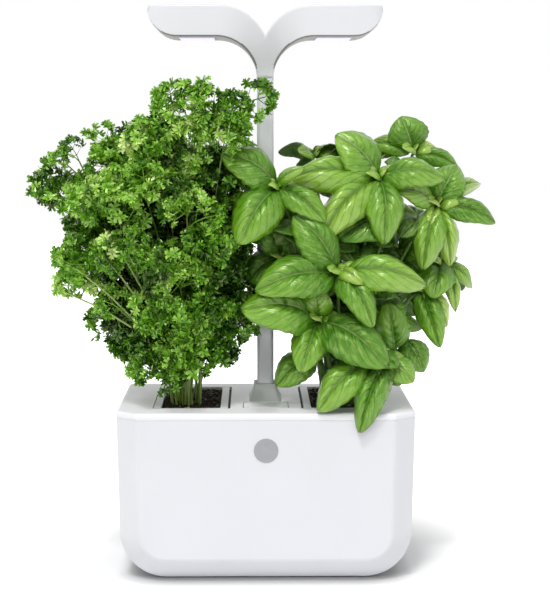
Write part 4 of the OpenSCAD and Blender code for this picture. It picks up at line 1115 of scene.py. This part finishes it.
def veined(material, vein_shade, streak_sheen, strength):
    """Sinks the midrib and the side veins of a leaf along its own map, and streaks the puffed
    tissue between them. The sunken veins are painted dark, as painted shade in their grooves, and
    the streaks are painted lighter, as a painted sheen."""
    tree = material.node_tree
    shader = tree.nodes["Principled BSDF"]
    step = partial(figure, tree)

    def line(way_off, narrowness):
        """1 in the middle of a vein, falling to 0 beside it."""
        return step("SUBTRACT", 1.0, step("MINIMUM", step("MULTIPLY", way_off, narrowness), 1.0))

    def blend_in(colour, share):
        """Mixes a colour into the leaf's own."""
        own = shader.inputs["Base Color"].links[0].from_socket
        wire(tree, shader, {"Base Color": mixed(tree, own, (*colour, 1), share)})

    own_map = add_node(tree, "UVMap", uv_map="UVMap").outputs["UV"]
    on_leaf = add_node(tree, "SeparateXYZ", {"Vector": own_map}).outputs
    off_middle = step("ABSOLUTE", step("MULTIPLY_ADD", on_leaf["X"], 2.0, -1.0))
    bent = step("MULTIPLY", step("POWER", off_middle, 1.2), vein_lean)
    phase = step("MULTIPLY", step("SUBTRACT", on_leaf["Y"], bent), vein_pairs + 1.0)
    to_vein = step("ABSOLUTE", step("SUBTRACT", step("FRACT", step("ADD", phase, 0.5)), 0.5))
    fading = step("SUBTRACT", 1.0, step("MULTIPLY", off_middle, 0.6))
    side_veins = step("MULTIPLY", step("MULTIPLY", line(to_vein, 9.0), fading), 0.95)
    sunken = step("MAXIMUM", side_veins, step("MULTIPLY", line(off_middle, 6.0), 0.8))
    own_tint = add_node(tree, "Attribute", attribute_name="tint").outputs["Fac"]
    streak_place = add_node(tree, "CombineXYZ", {"X": step("MULTIPLY", phase, 3.2),
                                                 "Y": step("MULTIPLY", on_leaf["X"], 3.0),
                                                 "Z": step("MULTIPLY", own_tint, 30.0)})
    streaks = clouds(tree, streak_place.outputs["Vector"], 1.0, 2)
    # Painted sheen: lighter streaks over the puffed tissue. Painted shade: darker sunken veins.
    blend_in(streak_sheen, step("MULTIPLY", step("MULTIPLY_ADD", streaks, 3.2, -1.35), 0.5))
    blend_in(vein_shade, step("MULTIPLY", sunken, strength))
    blend_in(midrib_green, step("MULTIPLY", line(off_middle, 22.0), 0.7))
    emboss(tree, shader, step("SUBTRACT", step("MULTIPLY", streaks, 1.1), sunken), 0.55, 0.7 * mm)
    return material


basil_face = veined(leaf_tissue("basil_face", (
    (0.0, (0.003, 0.045, 0.001)), (0.36, (0.052, 0.228, 0.003)), (0.62, (0.185, 0.430, 0.010)),
    (1.0, (0.520, 0.740, 0.110))), (0.28, 0.52, 0.01), 0.33, 420, 0.25 * mm, 0.16, waxy=True),
    (0.008, 0.070, 0.001), (0.430, 0.650, 0.140), 0.78)
basil_back = veined(leaf_tissue("basil_back", (
    (0.0, (0.150, 0.280, 0.080)), (0.5, (0.270, 0.420, 0.150)), (1.0, (0.420, 0.580, 0.220))),
    (0.25, 0.45, 0.06), 0.5, 420, 0.2 * mm, 0.22), (0.14, 0.28, 0.06), (0.42, 0.56, 0.28), 0.4)
basil_stalk = leaf_tissue("basil_stalk", (
    (0.1, (0.120, 0.250, 0.040)), (0.5, (0.240, 0.400, 0.090)), (0.9, (0.380, 0.520, 0.160))),
    (0.30, 0.45, 0.08), 0.40, 300, 0.1 * mm, 0.1)

large_leaves = [basil_leaf(variant, 14, 32) for variant in range(7)]
filler_leaves = [basil_leaf(variant, 8, 16) for variant in range(30, 35)]
small_leaves = [basil_leaf(variant, 6, 12) for variant in range(20, 25)]
basil_home = Vector((pod_x, pod_y, soil_top_z))
chance = random.Random(9)
basil_leaves = {"outer": bmesh.new(), "shaded": bmesh.new(), "inner": bmesh.new()}
basil_stems = bmesh.new()
for form in (basil_stems, *basil_leaves.values()):
    form.verts.layers.float.new("tint")
for form in basil_leaves.values():
    form.loops.layers.uv.new("UVMap")


def add_basil_leaf(part, base, way, width, facing, tint, shapes):
    """Hangs a leaf on its short stalk at a shoot."""
    base = base + basil_home
    begin = base + way * stalk_share + Vector((0, 0, 1 * mm))
    blade = base + way - begin
    size = Matrix.Diagonal((width * leaf_swell[0], blade.length * leaf_swell[1],
                            blade.length * leaf_swell[2], 1))
    append_copy(basil_leaves[part], chance.choice(shapes), aim(begin, blade, facing) @ size, tint)
    sag = base.lerp(begin, 0.5) + Vector((0, 0, 0.6 * mm))
    stalk(basil_stems, [base, sag, begin + blade * 0.03], *leaf_stalk, 5)


for i, (shoot, *leaves) in enumerate(basil_shoots):
    top = Vector(shoot) * mm
    stalk(basil_stems, [p + basil_home for p in stem_path(top, growth_bed)], *basil_girths, 8)
    at_rear = top.y > behind_y
    part = "outer" if i < shaded_from else "shaded"
    # Leaves of the shoots in the middle and at the back, their rosettes half as much, are painted
    # darker: painted shade, deepest under the front leaves.
    shade = 0 if i < shaded_from else behind_shade if at_rear else under_shade
    for *way, width in leaves:
        facing = Vector((chance.uniform(-0.2, 0.2), *((0.5, 0.85) if at_rear else (-0.8, 0.6))))
        fresh = young_paleness if width < young_until else 0
        add_basil_leaf(part, top, Vector(way) * mm, width * mm, facing,
                       leaf_tint + fresh - shade + chance.gauss(0, 0.13),
                       large_leaves if width > small_until else small_leaves)
    for k in range(rosette_leaves if len(leaves) > 1 else 0):
        turn = radians(60 * k + chance.uniform(-15, 15))
        reach = (9 if k % 2 else 15) * mm * chance.uniform(0.8, 1.2)
        way = heading(turn, radians(48 if k % 2 else 18)) * reach
        facing = Vector((cos(turn) * -0.4, -0.7, 0.7))
        add_basil_leaf(part, top, way, reach * rosette_width, facing,
                       rosette_tint - 0.5 * shade + chance.gauss(0, 0.08), small_leaves)
# Filler leaves inside the plant are painted dark: painted shade.
for _ in range(filler_count):
    one, other = (stem_path(Vector(chance.choice(basil_shoots)[0]) * mm, growth_bed)
                  for _ in (0, 1))
    at = chance.choice((4, 5, 6, 7, 8))
    start = one[at].lerp(other[at], chance.uniform(0.0, 0.5))
    turn = chance.uniform(0, 2 * pi)
    reach = chance.uniform(22, 36) * mm
    way = Vector((cos(turn), sin(turn), chance.uniform(-0.4, 0.6))).normalized() * reach
    add_basil_leaf("inner", start, way, reach * filler_width, Vector((0, -0.6, 0.8)),
                   filler_shade_tint + chance.gauss(0, 0.07), filler_leaves)

for part, form in basil_leaves.items():
    foliage = place_piece(f"basil_{part}", form, [basil_face, basil_back], "pod_right",
                          60)
    leaf_wall = foliage.modifiers.new("leaf_wall", "SOLIDIFY")
    leaf_wall.thickness = leaf_thickness
    leaf_wall.offset = -1
    leaf_wall.material_offset = 1
    leaf_wall.material_offset_rim = 1
    duck(foliage)
    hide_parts("basil_plant")
duck(place_piece("basil_stems", basil_stems, [basil_stalk], "pod_right", 60))


# ---------- Stage ----------
# The garden stands on a plain white floor in an even white room. Two soft lamps light it from high
# in front on the left, and a weak one from the right. The floor's paint holds a soft painted
# contact shadow.
floor_white = (0.90, 0.90, 0.90)
painted_contact_shadow = (0.40, 0.40, 0.40)
room_level = 0.60
glow_from, glow_to = 0.10, 0.26
least_glow, most_glow = 0.02, 0.75


def ray_kinds(tree):
    """Marks the camera's own rays, and with them those of mirror images and of views through
    glass, so that all of these find the same white ground and room."""
    ray = add_node(tree, "LightPath").outputs
    direct = ray["Is Camera Ray"]
    seen = figure(tree, "MAXIMUM", direct, ray["Is Glossy Ray"])
    return direct, figure(tree, "MAXIMUM", seen, ray["Is Transmission Ray"])


floor_form = bmesh.new()
bmesh.ops.create_grid(floor_form, x_segments=12, y_segments=12, size=4.0)
floor_mesh = finished_mesh("studio_floor", floor_form)
floor = bpy.data.objects.new("studio_floor", floor_mesh)
bpy.context.scene.collection.objects.link(floor)
floor_paint, tree, spare_shader, place = blank_material("floor_paint")
tree.nodes.remove(spare_shader)
direct, seen = ray_kinds(tree)
# Where the garden stands close above it, the floor's paint turns grey for the camera: a painted
# contact shadow.
near = add_node(tree, "AmbientOcclusion", {"Distance": 20 * mm}, samples=16).outputs["AO"]
contact = shade_row(tree, near, ((0.30, painted_contact_shadow), (0.85, floor_white)))
paint = add_node(tree, "BsdfDiffuse", {"Color": mixed(tree, (*floor_white, 1), contact, direct)})
from_middle = add_node(tree, "VectorMath", {0: place}, operation="LENGTH").outputs["Value"]
away = stretched(tree, from_middle, (least_glow, most_glow), (glow_from, glow_to), "SMOOTHSTEP")
glow = add_node(tree, "Emission", {"Strength": figure(tree, "MULTIPLY", seen, away)})
both = add_node(tree, "AddShader", {0: paint.outputs["BSDF"], 1: glow.outputs["Emission"]})
wire(tree, tree.nodes["Material Output"], {"Surface": both.outputs["Shader"]})
floor_mesh.materials.append(floor_paint)

room = bpy.data.worlds.new("studio_room")
bpy.context.scene.world = room
room.use_nodes = True
tree = room.node_tree
level = stretched(tree, ray_kinds(tree)[1], (room_level, 1.0))
wire(tree, tree.nodes["Background"], {"Color": (1, 1, 1, 1), "Strength": level})


def soft_sun(name, from_way, strength, spread):
    """A far, soft lamp that shines from a way."""
    light = bpy.data.lights.new(name, "SUN")
    light.energy = strength
    light.angle = radians(spread)
    lamp = bpy.data.objects.new(name, light)
    lamp.location = Vector(from_way) * 2
    lamp.rotation_euler = (-Vector(from_way)).to_track_quat("-Z", "Y").to_euler()
    bpy.context.scene.collection.objects.link(lamp)


soft_sun("key_lamp", (-0.20, -0.76, 0.62), 0.62, 14)
soft_sun("fill_lamp", (0.75, -0.55, 0.36), 0.10, 40)
soft_sun("top_lamp", (-0.14, -0.44, 0.88), 1.15, 10)

bpy.context.scene.view_settings.view_transform = "Standard"
bpy.context.view_layer.update()
